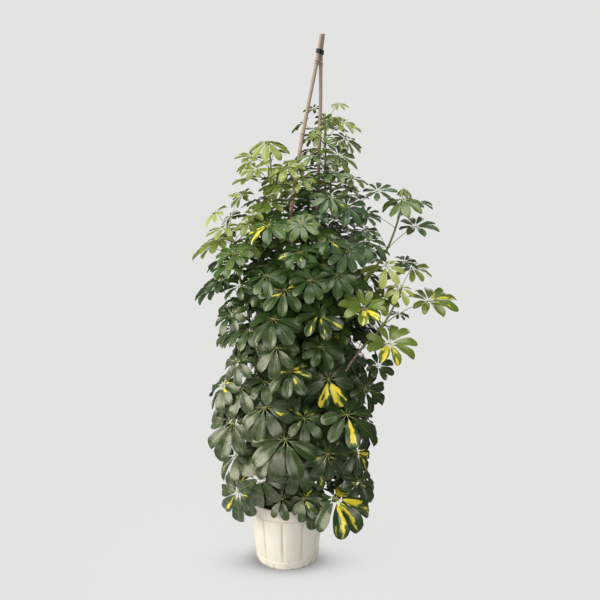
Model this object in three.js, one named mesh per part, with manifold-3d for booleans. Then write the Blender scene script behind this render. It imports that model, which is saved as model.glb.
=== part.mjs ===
// A variegated umbrella plant in a cream plastic pot, with two bamboo canes tied together at the top.
//
// Millimetres. The origin is the middle of the pot's flat underside, +Z is up, and -Y is the front.
// Ten leafy stems stand in the soil. Each stem is one solid with its petioles and leaves, and each
// leaf is one thin arched blade, cut nearly to its hub into leaflets.

import * as THREE from 'three';
import { mergeVertices } from 'three/addons/utils/BufferGeometryUtils.js';
import Module from 'manifold-3d';

// ---------------------------------------------------------------- driving dimensions

const CLEARANCE = 0.3; // between neighbouring solids

const POT_HEIGHT = 232;
const POT_BASE_RADIUS = 110.5;
const POT_FLARE = 0.1033; // growth of the radius for each millimetre of height
const POT_WALL = 4;
const POT_FLOOR = 8;
const FOOT_HEIGHT = 27;
const FOOT_STEP = 1.6;
const COLLAR_BOTTOM = 189;
const COLLAR_STEP = 2;
const RIM_LIP = 2.2;
const PANELS = 11;
const PANEL_PHASE = -96.5; // degrees, the groove nearest the front
const GROOVE_HALF_ANGLE = 2.1; // degrees
const GROOVE_DEPTH = 2;
const PANEL_CROWN = 0.7;
const PANEL_STEPS = 5; // facets to a panel, with its groove
const NOTCHES = 4;
const NOTCH_PHASE = -69; // degrees
const NOTCH_SIZE = [16, 30, 5]; // depth, width, height

const SOIL_TOP = 206;
const SOIL_EDGE_GAP = 1.2; // so that the soil's facets stay inside the pot's facets
const STEM_FOOT = 168; // the bottom of each stem, in its hole in the soil
const HOLE_SIDES = 9;

const CANE_FOOT = 14;
const CANE_RADIUS = [6.9, 5.7]; // at the foot and at the tip
const CANE_SIDES = 7;
const CANE_KNUCKLE = 0.9; // how far a node of the bamboo stands proud
const CANE_KNUCKLE_SPACING = 232;
const TIE_HEIGHT = 1745;
const TIE_LOOP = [6.5, 2.6]; // height and thickness of one loop
const TIE_LOOP_PITCH = 8;
const TIE_SLACK = 0.5; // the canes cross at a slight angle inside the loops

const STEM_SIDES = 4;
const STEM_TIP_RADIUS = 2.8;
const PETIOLE_RADIUS = [1.2, 1.6]; // where it leaves the stem, and under the blade
const LEAFLETS = 6;
const HUB_TOP = 1.4; // the hub above the blade's own plane
const HUB_BOTTOM = 2.4; // the petiole's end below it
const LEAFLET_CUT = 0.2; // how near the hub the gaps between leaflets reach, as a share of their length
const LEAFLET_CORNER = 0.22; // half the angle between the corners of a leaflet's tip, radians
const GOLDEN_ANGLE = 137.5; // degrees from each leaf to the next one up

// ---------------------------------------------------------------- small helpers

const wasm = await Module();
wasm.setup();

const UP = new THREE.Vector3(0, 0, 1);
const radians = THREE.MathUtils.degToRad;
const mix = THREE.MathUtils.lerp;
const vec = (x, y, z) => new THREE.Vector3(x, y, z);

// A small seeded generator, so that every build draws the same leaves.
function seededRandom(seed) {
  let state = seed >>> 0;
  return (low = 0, high = 1) => {
    state = (state + 0x6d2b79f5) >>> 0;
    let bits = Math.imul(state ^ (state >>> 15), 1 | state);
    bits = (bits + Math.imul(bits ^ (bits >>> 7), 61 | bits)) ^ bits;
    return mix(low, high, ((bits ^ (bits >>> 14)) >>> 0) / 4294967296);
  };
}

// Linear interpolation in rows of [key, value, value, ...] that are sorted by their key.
function lookUp(rows, key) {
  const last = rows.length - 1;
  if (key <= rows[0][0]) return rows[0].slice(1);
  if (key >= rows[last][0]) return rows[last].slice(1);
  const upper = rows.findIndex((row) => row[0] > key);
  const [low, high] = [rows[upper - 1], rows[upper]];
  const share = (key - low[0]) / (high[0] - low[0]);
  return low.slice(1).map((value, i) => mix(value, high[i + 1], share));
}

function weld(geometry) {
  geometry.deleteAttribute('normal');
  geometry.deleteAttribute('uv');
  return mergeVertices(geometry, 1e-3);
}

function solid(geometry) {
  const welded = weld(geometry);
  const vertProperties = new Float32Array(welded.attributes.position.array);
  const triVerts = new Uint32Array(welded.index.array);
  return new wasm.Manifold(new wasm.Mesh({ numProp: 3, vertProperties, triVerts }));
}

function geometryOf(manifold) {
  const mesh = manifold.getMesh();
  const geometry = new THREE.BufferGeometry();
  geometry.setAttribute('position', new THREE.BufferAttribute(new Float32Array(mesh.vertProperties), 3));
  geometry.setIndex(new THREE.BufferAttribute(new Uint32Array(mesh.triVerts), 1));
  return geometry;
}

function piece(name, manifold, colour, roughness) {
  const material = new THREE.MeshStandardMaterial({ color: colour, roughness, metalness: 0 });
  const mesh = new THREE.Mesh(geometryOf(manifold), material);
  mesh.name = name;
  return mesh;
}

// A closed tube along a curve. Each station says how far along the curve a ring lies, and its radius.
function tube(curve, stations, sides) {
  const rows = stations.length - 1;
  const geometry = new THREE.CylinderGeometry(1, 1, 1, sides, rows);
  const position = geometry.attributes.position;
  for (let i = 0; i < position.count; i += 1) {
    const [across, along, deep] = [position.getX(i), position.getY(i), position.getZ(i)];
    const station = stations[Math.round((0.5 + along) * rows)];
    const centre = curve.getPointAt(station.at);
    const tangent = curve.getTangentAt(station.at);
    const side = vec(0, 1, 0).cross(tangent).normalize();
    const front = side.clone().cross(tangent).normalize();
    centre.addScaledVector(side, across * station.radius).addScaledVector(front, deep * station.radius);
    position.setXYZ(i, centre.x, centre.y, centre.z);
  }
  return geometry;
}

function evenStations(count, radiusAt) {
  return Array.from({ length: count + 1 }, (_, i) => ({ at: i / count, radius: radiusAt(i / count) }));
}

// Straight lines between the stations of a curve: the middle line of a faceted tube.
function spineOf(curve, stations) {
  const spine = new THREE.CurvePath();
  const points = stations.map(({ at }) => curve.getPointAt(at));
  for (let i = 1; i < points.length; i += 1) spine.add(new THREE.LineCurve3(points[i - 1], points[i]));
  return spine;
}

// ---------------------------------------------------------------- pot

const bodyRadius = (z) => POT_BASE_RADIUS + POT_FLARE * z;
const innerRadius = (z) => bodyRadius(z) - POT_WALL;

function makePot() {
  const panelBottom = FOOT_HEIGHT + 6;
  const panelTop = COLLAR_BOTTOM - 5;
  const foot = bodyRadius(FOOT_HEIGHT) + FOOT_STEP;
  const profile = [
    [0, 0],
    [POT_BASE_RADIUS - 1.5, 0],
    [POT_BASE_RADIUS + FOOT_STEP, 3],
    [foot, FOOT_HEIGHT],
    [foot - FOOT_STEP, FOOT_HEIGHT + 2],
    [bodyRadius(panelBottom), panelBottom],
    [bodyRadius(panelTop), panelTop],
    [bodyRadius(COLLAR_BOTTOM), COLLAR_BOTTOM],
    [bodyRadius(COLLAR_BOTTOM) + COLLAR_STEP, COLLAR_BOTTOM + 1.5],
    [bodyRadius(POT_HEIGHT) + COLLAR_STEP - 0.5, POT_HEIGHT - 6],
    [bodyRadius(POT_HEIGHT) + RIM_LIP, POT_HEIGHT - 3],
    [bodyRadius(POT_HEIGHT) + RIM_LIP - 1, POT_HEIGHT],
    [innerRadius(POT_HEIGHT), POT_HEIGHT],
    [innerRadius(POT_FLOOR), POT_FLOOR],
    [0, POT_FLOOR],
  ].map(([x, y]) => new THREE.Vector2(x, y));
  const segments = PANELS * PANEL_STEPS;
  const lathe = new THREE.LatheGeometry(profile, segments);
  const position = lathe.attributes.position;
  const panelAngle = 360 / PANELS;
  for (let i = 0; i < position.count; i += 1) {
    const [x, z, y] = [position.getX(i), position.getY(i), position.getZ(i)];
    const radius = Math.hypot(x, y);
    const step = Math.round((Math.atan2(x, y) / (2 * Math.PI)) * segments);
    const inPanel = ((step % PANEL_STEPS) + PANEL_STEPS) % PANEL_STEPS;
    // The first and last facets of a panel are the two sides of its groove.
    const panelShare = (inPanel - 1) / (PANEL_STEPS - 2);
    const inside = mix(GROOVE_HALF_ANGLE, panelAngle - GROOVE_HALF_ANGLE, panelShare);
    const angle = radians(PANEL_PHASE + Math.floor(step / PANEL_STEPS) * panelAngle + (inPanel ? inside : 0));
    const onPanel = z > panelBottom - 1 && z < panelTop + 1 && radius > innerRadius(z) + 1;
    const crown = PANEL_CROWN * Math.sin(Math.PI * panelShare);
    const relief = onPanel ? (inPanel ? crown : -GROOVE_DEPTH) : 0;
    const distance = radius > 1 ? radius + relief : 0;
    position.setXYZ(i, distance * Math.cos(angle), distance * Math.sin(angle), z);
  }
  let pot = solid(lathe);
  for (let i = 0; i < NOTCHES; i += 1) {
    const [depth, width, height] = NOTCH_SIZE;
    const notch = new THREE.BoxGeometry(depth * 2, width, height * 2);
    notch.translate(POT_BASE_RADIUS + FOOT_STEP, 0, 0);
    notch.rotateZ(radians(NOTCH_PHASE + (i * 360) / NOTCHES));
    pot = pot.subtract(solid(notch));
  }
  return piece('pot', pot, 0xe6e0d0, 0.55);
}

// ---------------------------------------------------------------- bamboo canes and their tie

const LEFT_CANE = [
  [-78, -34, CANE_FOOT], [-69, -33, 120], [-60, -32, 226], [-28, -30, 650], [16, -25, 1229],
  [49, -17, 1453], [66, -13, 1544], [106, -5.4, 1745], [114.5, -6, 1797],
];
const RIGHT_CANE = [
  [86, 28, CANE_FOOT], [88, 26.5, 120], [90, 25, 226], [98, 21, 700], [107, 16, 1351],
  [113, 11, 1591], [114, 5.6, 1745], [121, 6, 1800],
];

const through = (points) => new THREE.CatmullRomCurve3(points.map((p) => vec(...p)), false, 'centripetal');

function makeCane(points, tipToKnuckle) {
  const curve = through(points);
  const length = curve.getLength();
  const radiusAt = (at) => mix(CANE_RADIUS[0], CANE_RADIUS[1], at);
  const stations = evenStations(6, radiusAt);
  for (let along = length - tipToKnuckle; along > POT_HEIGHT; along -= CANE_KNUCKLE_SPACING) {
    const at = along / length;
    stations.push({ at: at - 4 / length, radius: radiusAt(at) - 0.2 });
    stations.push({ at, radius: radiusAt(at) + CANE_KNUCKLE });
    stations.push({ at: at + 5 / length, radius: radiusAt(at) });
  }
  stations.sort((a, b) => a.at - b.at);
  return { body: solid(tube(curve, stations, CANE_SIDES)), spine: spineOf(curve, stations) };
}

function pointAtHeight(spine, height) {
  const line = spine.curves.find(({ v2 }) => v2.z > height);
  return line.getPoint((height - line.v1.z) / (line.v2.z - line.v1.z));
}

// Two flat loops of soft wire round both canes, joined by their knot.
function makeTie(leftSpine, rightSpine) {
  const [left, right] = [leftSpine, rightSpine].map((spine) => pointAtHeight(spine, TIE_HEIGHT));
  const [leftUp, rightUp] = [leftSpine, rightSpine].map((spine) => pointAtHeight(spine, TIE_HEIGHT + 10));
  const half = left.distanceTo(right) / 2;
  const inner = mix(CANE_RADIUS[0], CANE_RADIUS[1], 0.95) + CLEARANCE + TIE_SLACK;
  const [height, thickness] = TIE_LOOP;
  const stadium = (radius, Kind) => {
    const outline = new Kind();
    outline.absarc(half, 0, radius, -Math.PI / 2, Math.PI / 2, false);
    outline.absarc(-half, 0, radius, Math.PI / 2, (3 * Math.PI) / 2, false);
    return outline;
  };
  const ring = stadium(inner + thickness, THREE.Shape);
  ring.holes.push(stadium(inner, THREE.Path));
  let tie = null;
  for (const level of [-0.5, 0.5]) {
    const loop = new THREE.ExtrudeGeometry(ring, { depth: height, bevelEnabled: false, curveSegments: 4 });
    loop.translate(0, 0, level * TIE_LOOP_PITCH - height / 2);
    tie = tie ? tie.add(solid(loop)) : solid(loop);
  }
  const knot = new THREE.SphereGeometry(3.4, 6, 4);
  knot.scale(1.3, 0.8, 2);
  knot.translate(-half * 0.2, -inner - thickness, 0);
  tie = tie.add(solid(knot));
  const up = leftUp.add(rightUp).sub(left).sub(right).normalize();
  const front = up.clone().cross(right.clone().sub(left)).normalize();
  const place = new THREE.Matrix4().makeBasis(front.clone().cross(up), front, up);
  place.setPosition(left.clone().add(right).divideScalar(2));
  const geometry = geometryOf(tie).applyMatrix4(place);
  return solid(geometry);
}

// ---------------------------------------------------------------- the plant's shape

// The body of the plant without its side branches: height, middle x and half widths along x and y.
const CROWN = [
  [230, 35, 240, 205], [300, 35, 285, 245], [470, 28, 320, 265], [700, 66, 268, 255],
  [850, 104, 286, 265], [950, 112, 322, 270], [1100, 62, 320, 265], [1200, 50, 283, 245],
  [1310, 80, 230, 200], [1400, 100, 150, 150], [1500, 118, 105, 105], [1600, 130, 60, 60],
];

// The layers of leaves that fill it: how far out each lies, and how widely its leaves are spaced.
const BODY_LAYERS = [[1, 1.6], [0.78, 3], [0.56, 7]];

// Length of a leaflet by the height of its leaf, and of the leaf's petiole.
const LEAF_SIZE = [
  [250, 112, 130], [500, 108, 135], [700, 98, 130], [900, 88, 120], [1100, 76, 105],
  [1300, 66, 85], [1450, 55, 65], [1600, 34, 34],
];

// How a leaf is held, by its height: the tilt of its blade above the horizon, and its leaflets' droop.
const LEAF_POSTURE = [[250, 22, 20], [600, 34, 17], [900, 48, 9], [1200, 60, 4], [1500, 62, 4]];

// How strongly the blades at a height turn to the window.
const WINDOW_PULL = [[250, 0.1], [800, 0.3], [1000, 0.8], [1500, 0.9]];

// Each stem is a path from the soil to its tip, with its radius at the foot, the share of it below its
// leafy end and the number of leaves that its rule adds there. The leaves that show best are placed
// one by one: x, y and z of the hub and the length of a leaflet. Three more values, where given, turn
// the blade to face another way, with its heading in degrees from the front, to the right, and its
// tilt above the horizon, and set its droop.
const STEMS = [
  {
    name: 'stem_leader',
    path: [[68, 66, 215], [100, 50, 600], [124, 42, 1000], [131, 34, 1350], [128, 26, 1560]],
    radius: 8, leafy: 0.66, fill: 16, phase: 20,
    leaves: [
      [170, -4, 1583, 36, 0, 62], [92, 52, 1574, 42], [186, 0, 1524, 64], [54, 42, 1526, 50],
      [196, 10, 1474, 68], [170, -45, 1420, 76, 30, 40], [152, -85, 1362, 74], [112, -60, 1478, 64],
      [82, -75, 1418, 58], [215, -30, 1348, 66], [140, -120, 1292, 78], [195, -110, 1262, 80],
      [75, -130, 1235, 78], [128, 66, 1545, 50], [300, -20, 1306, 66, 0, 58],
    ],
  },
  {
    name: 'stem_left_crown',
    path: [[-20, 55, 215], [-18, 48, 600], [-20, 28, 1000], [-26, 6, 1210], [-47, 0, 1350], [-52, -2, 1425]],
    radius: 7.5, leafy: 0.72, fill: 11, phase: 75,
    leaves: [
      [-60, -20, 1466, 86, -10, 70, 26], [-100, -50, 1426, 68, -20, 68], [-92, -80, 1376, 64],
      [2, -70, 1382, 80],
      [52, -95, 1345, 58], [-120, 15, 1402, 62], [-8, -40, 1440, 70], [-55, -95, 1268, 78],
      [-40, 54, 1436, 62], [-144, -10, 1292, 56],
    ],
  },
  {
    name: 'stem_left_middle',
    path: [[-52, 12, 215], [-78, 8, 500], [-122, -10, 850], [-168, -22, 1080], [-196, -26, 1200]],
    radius: 7, leafy: 0.62, fill: 9, phase: 160,
    leaves: [
      [-218, -40, 1150, 84], [-200, -75, 1186, 70], [-232, -10, 1236, 62], [-148, -30, 1288, 56],
      [-52, -165, 1205, 92, -30, 57, 11], [-160, -130, 1112, 78], [-208, -100, 1024, 68],
      [-188, -60, 936, 62], [-38, -190, 914, 104], [-178, -110, 908, 74], [-145, -145, 1012, 72],
      [-218, 20, 1075, 72], [-60, -180, 1050, 80],
    ],
  },
  {
    name: 'stem_right_crown',
    path: [[44, -12, 215], [88, -14, 500], [165, -8, 800], [262, -2, 990], [342, 0, 1120], [380, 0, 1240],
      [385, 0, 1284]],
    radius: 7.5, leafy: 0.62, fill: 3, phase: 250,
    leaves: [
      [386, 14, 1318, 54, 0, 80, 48], [379, -40, 1280, 92, -25, 74, 22], [428, -10, 1188, 84, 0, 66, -4],
      [256, -70, 1228, 76], [262, -110, 1152, 84], [440, 20, 1272, 62, 20, 76, 4], [190, -165, 1130, 82],
      [390, -40, 1076, 52, 20, 60],
    ],
  },
  {
    name: 'stem_right_branch',
    path: [[78, -46, 215], [120, -100, 480], [160, -145, 640], [194, -168, 739], [248, -160, 815],
      [304, -140, 868], [368, -100, 970], [380, -88, 1000]],
    radius: 7, leafy: 0.84, fill: 0, phase: 310,
    leaves: [
      [245, -222, 950, 98, 0, 50, -21], [326, -200, 836, 104, 10, 54, -8], [474, -50, 944, 104, 8, 64, -4],
      [420, -24, 1052, 80, 10, 62], [322, -115, 1072, 92, -8, 60, 16], [368, -128, 1004, 66, 0, 58, 14],
      [302, -120, 741, 62, 10, 45, 0], [372, -70, 905, 42, 20, 74, 10], [196, -205, 604, 114, 12, 46, 12],
      [256, -130, 650, 110, 25, 24, 4], [165, -150, 850, 86],
    ],
  },
  {
    name: 'stem_front',
    path: [[18, -76, 215], [34, -96, 500], [60, -104, 800], [72, -106, 1000], [64, -100, 1160]],
    radius: 7, leafy: 0.5, fill: 6, phase: 30,
    leaves: [
      [0, -225, 530, 132, 0, 38], [-80, -205, 392, 110, -12, 12], [60, -185, 308, 70, -25, 40],
      [162, -192, 324, 140, -5, 60, 30], [60, -205, 592, 86],
      [135, -200, 722, 100, 5, 20], [14, -200, 746, 94], [105, -195, 930, 94], [-26, -200, 824, 94],
      [46, -212, 1125, 78], [77, -218, 1040, 82], [0, -205, 1010, 86, 0, 34], [160, -165, 985, 84],
      [46, -180, 1205, 74], [139, -190, 1156, 78], [190, -170, 1040, 80], [136, -212, 474, 100],
      [30, -190, 410, 100], [110, -190, 830, 92], [-10, -150, 290, 88], [105, -150, 400, 92],
      [95, -130, 262, 84], [-40, -190, 470, 92],
    ],
  },
  {
    name: 'stem_left_low',
    path: [[-44, -78, 215], [-88, -88, 450], [-104, -78, 680], [-96, -72, 840]],
    radius: 7, leafy: 0.5, fill: 4, phase: 200,
    leaves: [
      [-176, -140, 550, 114, -30, 38], [-162, -120, 300, 114, -30, 18], [-66, -205, 628, 104, -12, 36],
      [-142, -150, 675, 100], [-200, -80, 602, 96], [-172, -100, 420, 100], [-95, -130, 470, 96],
      [-152, -130, 760, 86], [-116, -160, 868, 86], [-215, -40, 505, 108], [-105, -100, 285, 90],
      [-170, -20, 350, 100], [-60, -150, 700, 90],
    ],
  },
  {
    name: 'stem_right_low',
    path: [[106, -10, 215], [142, 6, 400], [166, 16, 600], [182, 24, 780], [188, 30, 900]],
    radius: 6.5, leafy: 0.4, fill: 7, phase: 120,
    leaves: [
      [250, -140, 342, 100, 30, 30], [232, -120, 446, 90, 30, 30], [264, -30, 520, 92],
      [215, -90, 500, 96], [200, -105, 392, 96], [190, -60, 300, 96], [215, 60, 420, 100],
      [160, 110, 330, 96], [262, -20, 330, 104], [290, 30, 640, 98],
    ],
  },
  {
    name: 'stem_back',
    path: [[14, 98, 215], [24, 124, 600], [62, 116, 900], [112, 98, 1150], [136, 88, 1300]],
    radius: 7.5, leafy: 0.45, fill: 13, phase: 10,
    leaves: [
      [20, 205, 330, 104], [120, 185, 400, 104], [-20, 220, 470, 106], [70, 215, 590, 102],
      [160, 160, 620, 98],
    ],
  },
  {
    name: 'stem_back_left',
    path: [[-62, 74, 215], [-72, 108, 480], [-66, 120, 760], [-40, 116, 1000], [-26, 104, 1180]],
    radius: 7, leafy: 0.45, fill: 10, phase: 95,
    leaves: [
      [-130, 150, 320, 106], [-80, 200, 420, 108], [-170, 110, 500, 102], [-110, 180, 600, 100],
      [-190, 80, 680, 94],
    ],
  },
];

// ---------------------------------------------------------------- one leaf

// The hub, the blade's outline and the petiole of one leaf. Three points make each leaflet: the gap
// before it and the two corners of its blunt tip. `axis` is the blade's normal and `lead` the way its
// longest leaflet points; the leaflets droop from the hub, and their ends sag a little more.
function leafShape({ hub, root, axis, lead, length, droop, sag, jitter }) {
  const across = axis.clone().cross(lead);
  const spread = 348 / LEAFLETS;
  const outline = [];
  const place = (angle, reach, lift) => {
    const flat = lead.clone().multiplyScalar(Math.cos(angle)).addScaledVector(across, Math.sin(angle));
    const point = hub.clone().addScaledVector(flat, reach * Math.cos(lift));
    point.addScaledVector(axis, -reach * Math.sin(lift));
    point.addScaledVector(UP, (-sag * reach * reach) / length);
    outline.push(point);
  };
  for (let i = 0; i < LEAFLETS; i += 1) {
    const angle = radians((i + 0.5 - LEAFLETS / 2) * spread);
    const size = length * (0.86 + 0.14 * Math.cos(angle)) * (1 + 0.07 * jitter[i]);
    place(angle - radians(spread / 2), length * LEAFLET_CUT, droop * 0.6);
    place(angle - LEAFLET_CORNER, size, droop);
    place(angle + LEAFLET_CORNER, size, droop);
  }
  const top = hub.clone().addScaledVector(axis, HUB_TOP);
  const stalk = hub.clone().sub(root).normalize();
  const collar = [];
  const foot = [];
  for (let i = 0; i < 3; i += 1) {
    const angle = radians(120 * i - 114);
    const flat = lead.clone().multiplyScalar(Math.cos(angle)).addScaledVector(across, Math.sin(angle));
    collar.push(hub.clone().addScaledVector(axis, -HUB_BOTTOM).addScaledVector(flat, PETIOLE_RADIUS[1]));
    const round = flat.clone().addScaledVector(stalk, -flat.dot(stalk)).normalize();
    foot.push(root.clone().addScaledVector(round, PETIOLE_RADIUS[0]));
  }
  // The corner of the petiole that each point of the outline hangs on.
  const corner = outline.map((_, i) => Math.min(2, Math.floor((3 * (i + 0.5)) / outline.length)));
  return { hub, root, top, collar, foot, outline, corner, length };
}

// The leaf's triangles, facing out.
function leafFaces({ top, collar, foot, outline, corner }) {
  const faces = [];
  outline.forEach((point, i) => {
    const next = (i + 1) % outline.length;
    faces.push([top, point, outline[next]]);
    faces.push([collar[corner[i]], outline[next], point]);
    if (corner[i] !== corner[next]) faces.push([collar[corner[i]], collar[corner[next]], outline[next]]);
  });
  collar.forEach((point, i) => {
    const next = (i + 1) % 3;
    faces.push([point, foot[i], foot[next]]);
    faces.push([point, foot[next], collar[next]]);
  });
  faces.push([foot[0], foot[2], foot[1]]);
  return faces;
}

// A blade is sound when its outline runs once round the line from the hub's top to each corner of
// its petiole, so its upper and lower faces never cross.
function isSound({ top, collar, outline }) {
  return collar.every((corner) => {
    const line = top.clone().sub(corner);
    return outline.every((point, i) => {
      const next = outline[(i + 1) % outline.length];
      const arm = point.clone().sub(corner);
      const turn = line.dot(arm.clone().cross(next.clone().sub(corner)));
      return turn > 0.02 * line.length() * arm.length() * next.distanceTo(corner);
    });
  });
}

// ---------------------------------------------------------------- keeping leaves clear

// Distance between two segments.
function segmentGap(a, b, c, d) {
  const u = b.clone().sub(a);
  const v = d.clone().sub(c);
  const w = a.clone().sub(c);
  const [uu, uv, vv, uw, vw] = [u.dot(u), u.dot(v), v.dot(v), u.dot(w), v.dot(w)];
  const spread = uu * vv - uv * uv;
  const clamp = (value) => Math.min(1, Math.max(0, value));
  let s = spread < 1e-9 ? 0 : clamp((uv * vw - vv * uw) / spread);
  const t = clamp((uv * s + vw) / vv);
  s = clamp((uv * t - uw) / uu);
  return w.addScaledVector(u, s).addScaledVector(v, -t).length();
}

// Distance from a rod to a point.
function rodGap({ from, to }, point) {
  return new THREE.Line3(from, to).closestPointToPoint(point, true, vec()).distanceTo(point);
}

// Whether the segment a-b passes through the triangle p-q-r.
function pierces(a, b, [p, q, r]) {
  const ray = b.clone().sub(a);
  const side = q.clone().sub(p);
  const other = r.clone().sub(p);
  const h = ray.clone().cross(other);
  const det = side.dot(h);
  if (Math.abs(det) < 1e-9) return false;
  const s = a.clone().sub(p);
  const u = s.dot(h) / det;
  if (u < -0.01 || u > 1.01) return false;
  const n = s.cross(side);
  const v = ray.dot(n) / det;
  if (v < -0.01 || u + v > 1.01) return false;
  const along = other.dot(n) / det;
  return along > -0.01 && along < 1.01;
}

// The blade as boxed groups of triangles, one group for each leaflet.
function leafletsOf(shape) {
  const groups = [];
  for (let i = 0; i < LEAFLETS; i += 1) {
    const faces = [];
    const box = new THREE.Box3();
    for (let j = 3 * i; j < 3 * i + 3; j += 1) {
      const pair = [shape.outline[j], shape.outline[(j + 1) % shape.outline.length]];
      faces.push([shape.top, ...pair]);
      faces.push([shape.collar[shape.corner[j]], ...pair]);
      pair.forEach((point) => box.expandByPoint(point));
    }
    box.expandByPoint(shape.top);
    groups.push({ faces, box: box.expandByScalar(1.5) });
  }
  return groups;
}

function leafletsCross(a, b) {
  const hits = (from, into) => from.some(([p, q, r]) => into.some((face) =>
    pierces(q, r, face) || pierces(p, q, face) || pierces(p, r, face)));
  return hits(a.faces, b.faces) || hits(b.faces, a.faces);
}

function rodCrossesBlade(rod, groups) {
  const box = new THREE.Box3().setFromPoints([rod.from, rod.to]).expandByScalar(rod.radius);
  return groups.some((group) => group.box.intersectsBox(box) && group.faces.some((face) => {
    const [p, q, r] = face;
    return pierces(rod.from, rod.to, face) || segmentGap(rod.from, rod.to, q, r) < rod.radius
      || segmentGap(rod.from, rod.to, p, q) < rod.radius;
  }));
}

// ---------------------------------------------------------------- placing the leaves

const STEM_MARGIN = 1.5; // kept clear round each stem and cane
const PETIOLE_MARGIN = 0.8;
const LEAF_REACH = 1.1; // the longest leaflet of a leaf, as a share of its stated length
const VIEWPOINT = vec(46, -2291, 1356); // where the photo was taken from
const TRIES = { chosen: 60, tip: 40, body: 24 }; // places tried before a leaf is given up

const placedLeaves = [];
const rods = []; // what leaves have to miss: canes, stems and petioles, as segments with a radius

function addRods(curve, stations, owner) {
  spineOf(curve, stations).curves.forEach(({ v1, v2 }, i) => {
    rods.push({ from: v1, to: v2, radius: stations[i].radius + STEM_MARGIN, owner });
  });
}

function insidePot(point) {
  return point.z < POT_HEIGHT + 6 && Math.hypot(point.x, point.y) < bodyRadius(POT_HEIGHT) + 8;
}

function isClear(shape, owner) {
  const groups = leafletsOf(shape);
  if (shape.outline.some((point) => insidePot(point) || point.z < 20)) return false;
  const reach = shape.length * LEAF_REACH;
  const radius = PETIOLE_RADIUS[1] + PETIOLE_MARGIN;
  const stalk = { from: shape.root, to: shape.collar[0].clone().lerp(shape.hub, 0.2), radius };
  const ownStalk = { ...stalk, to: shape.root.clone().lerp(shape.hub, 0.86) };
  if (rodCrossesBlade(ownStalk, groups)) return false;
  for (const rod of rods) {
    const nearHub = rodGap(rod, shape.hub) < reach + rod.radius;
    if (nearHub && rodCrossesBlade(rod, groups)) return false;
    // A petiole touches its own stem, and its stem's other petioles only at their roots.
    const own = rod.owner === owner;
    if (own && !rod.petiole) continue;
    const from = own ? rod.from.clone().lerp(rod.to, 0.1) : rod.from;
    if (segmentGap(from, rod.to, stalk.from, stalk.to) < rod.radius + stalk.radius) return false;
  }
  for (const other of placedLeaves) {
    const near = other.shape.hub.distanceTo(shape.hub) < reach + other.reach;
    const touches = (a, b) => a.box.intersectsBox(b.box) && leafletsCross(a, b);
    if (near && groups.some((a) => other.groups.some((b) => touches(a, b)))) return false;
    const stalkNear = rodGap(stalk, other.shape.hub) < other.reach + 5;
    if (stalkNear && rodCrossesBlade(stalk, other.groups)) return false;
  }
  return true;
}

function keep(shape, owner, shown) {
  placedLeaves.push({ shape, groups: leafletsOf(shape), reach: shape.length * LEAF_REACH, shown });
  const radius = PETIOLE_RADIUS[1] + PETIOLE_MARGIN;
  rods.push({ from: shape.root, to: shape.hub, radius, owner, petiole: true });
}

// Where a new leaf would stand in front of one that the photo shows whole.
function hidesShown(hub, length) {
  return placedLeaves.some(({ shape, shown }) => {
    const sight = VIEWPOINT.clone().sub(shape.hub).normalize();
    const offset = hub.clone().sub(shape.hub);
    const ahead = offset.dot(sight);
    const beside = offset.addScaledVector(sight, -ahead).length();
    return shown && ahead > 0 && beside < 0.55 * (shape.length + length);
  });
}

const heading = (degrees, tilt) => vec(
  Math.sin(radians(degrees)) * Math.cos(radians(tilt)),
  -Math.cos(radians(degrees)) * Math.cos(radians(tilt)),
  Math.sin(radians(tilt)),
);

// The way a blade faces where nothing else is said: outwards below, and more to the sky further up,
// with a turn towards the window, which is in front, wherever that is not behind it.
function natural(hub, root, random) {
  const [middle, wide, deep] = lookUp(CROWN, hub.z);
  const outward = vec((hub.x - middle) / wide, hub.y / deep, 0);
  const stalk = hub.clone().sub(root).setZ(0).normalize();
  outward.addScaledVector(stalk, 0.5).normalize();
  const toWindow = lookUp(WINDOW_PULL, hub.z)[0] * THREE.MathUtils.smoothstep(-outward.y, -0.8, 0.3);
  outward.addScaledVector(vec(-0.2, -1, 0), toWindow).normalize();
  const tilt = radians(lookUp(LEAF_POSTURE, hub.z)[0] + random(-18, 18));
  return outward.multiplyScalar(Math.cos(tilt)).addScaledVector(UP, Math.sin(tilt));
}

function tryLeaf(stem, hub, root, length, axis, random, setDroop, shown) {
  const stalk = hub.clone().sub(root).normalize();
  const bend = stalk.angleTo(axis);
  if (shown && bend > radians(80)) return false;
  if (!shown && bend > radians(58)) axis.addScaledVector(stalk, 0.9).normalize();
  // The longest leaflet points away from the stem and down.
  const lead = stalk.clone().addScaledVector(UP, -0.8).addScaledVector(vec(1, 0, 0), random(-0.25, 0.25));
  lead.addScaledVector(axis, -lead.dot(axis)).normalize();
  const droop = radians(setDroop ?? lookUp(LEAF_POSTURE, hub.z)[1] + random(-8, 8));
  const jitter = Array.from({ length: LEAFLETS }, () => random(-1, 1));
  const shape = leafShape({ hub, root, axis, lead, length, droop, sag: random(0.03, 0.16), jitter });
  if (!isSound(shape) || !isClear(shape, stem.name)) return false;
  keep(shape, stem.name, shown);
  stem.shapes.push(shape);
  return true;
}

// The root of a chosen leaf's petiole: the point of the stem that it rises from at an easy slope.
function rootFor(stem, hub, slope) {
  let best = null;
  for (let at = 0.1; at <= 0.985; at += 0.015) {
    const point = stem.spine.getPointAt(at);
    const run = Math.hypot(hub.x - point.x, hub.y - point.y);
    const miss = Math.abs(hub.z - point.z - slope * run) + 0.25 * run;
    if (point.z > SOIL_TOP + 20 && (!best || miss < best.miss)) best = { point, miss };
  }
  return best.point;
}

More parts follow.
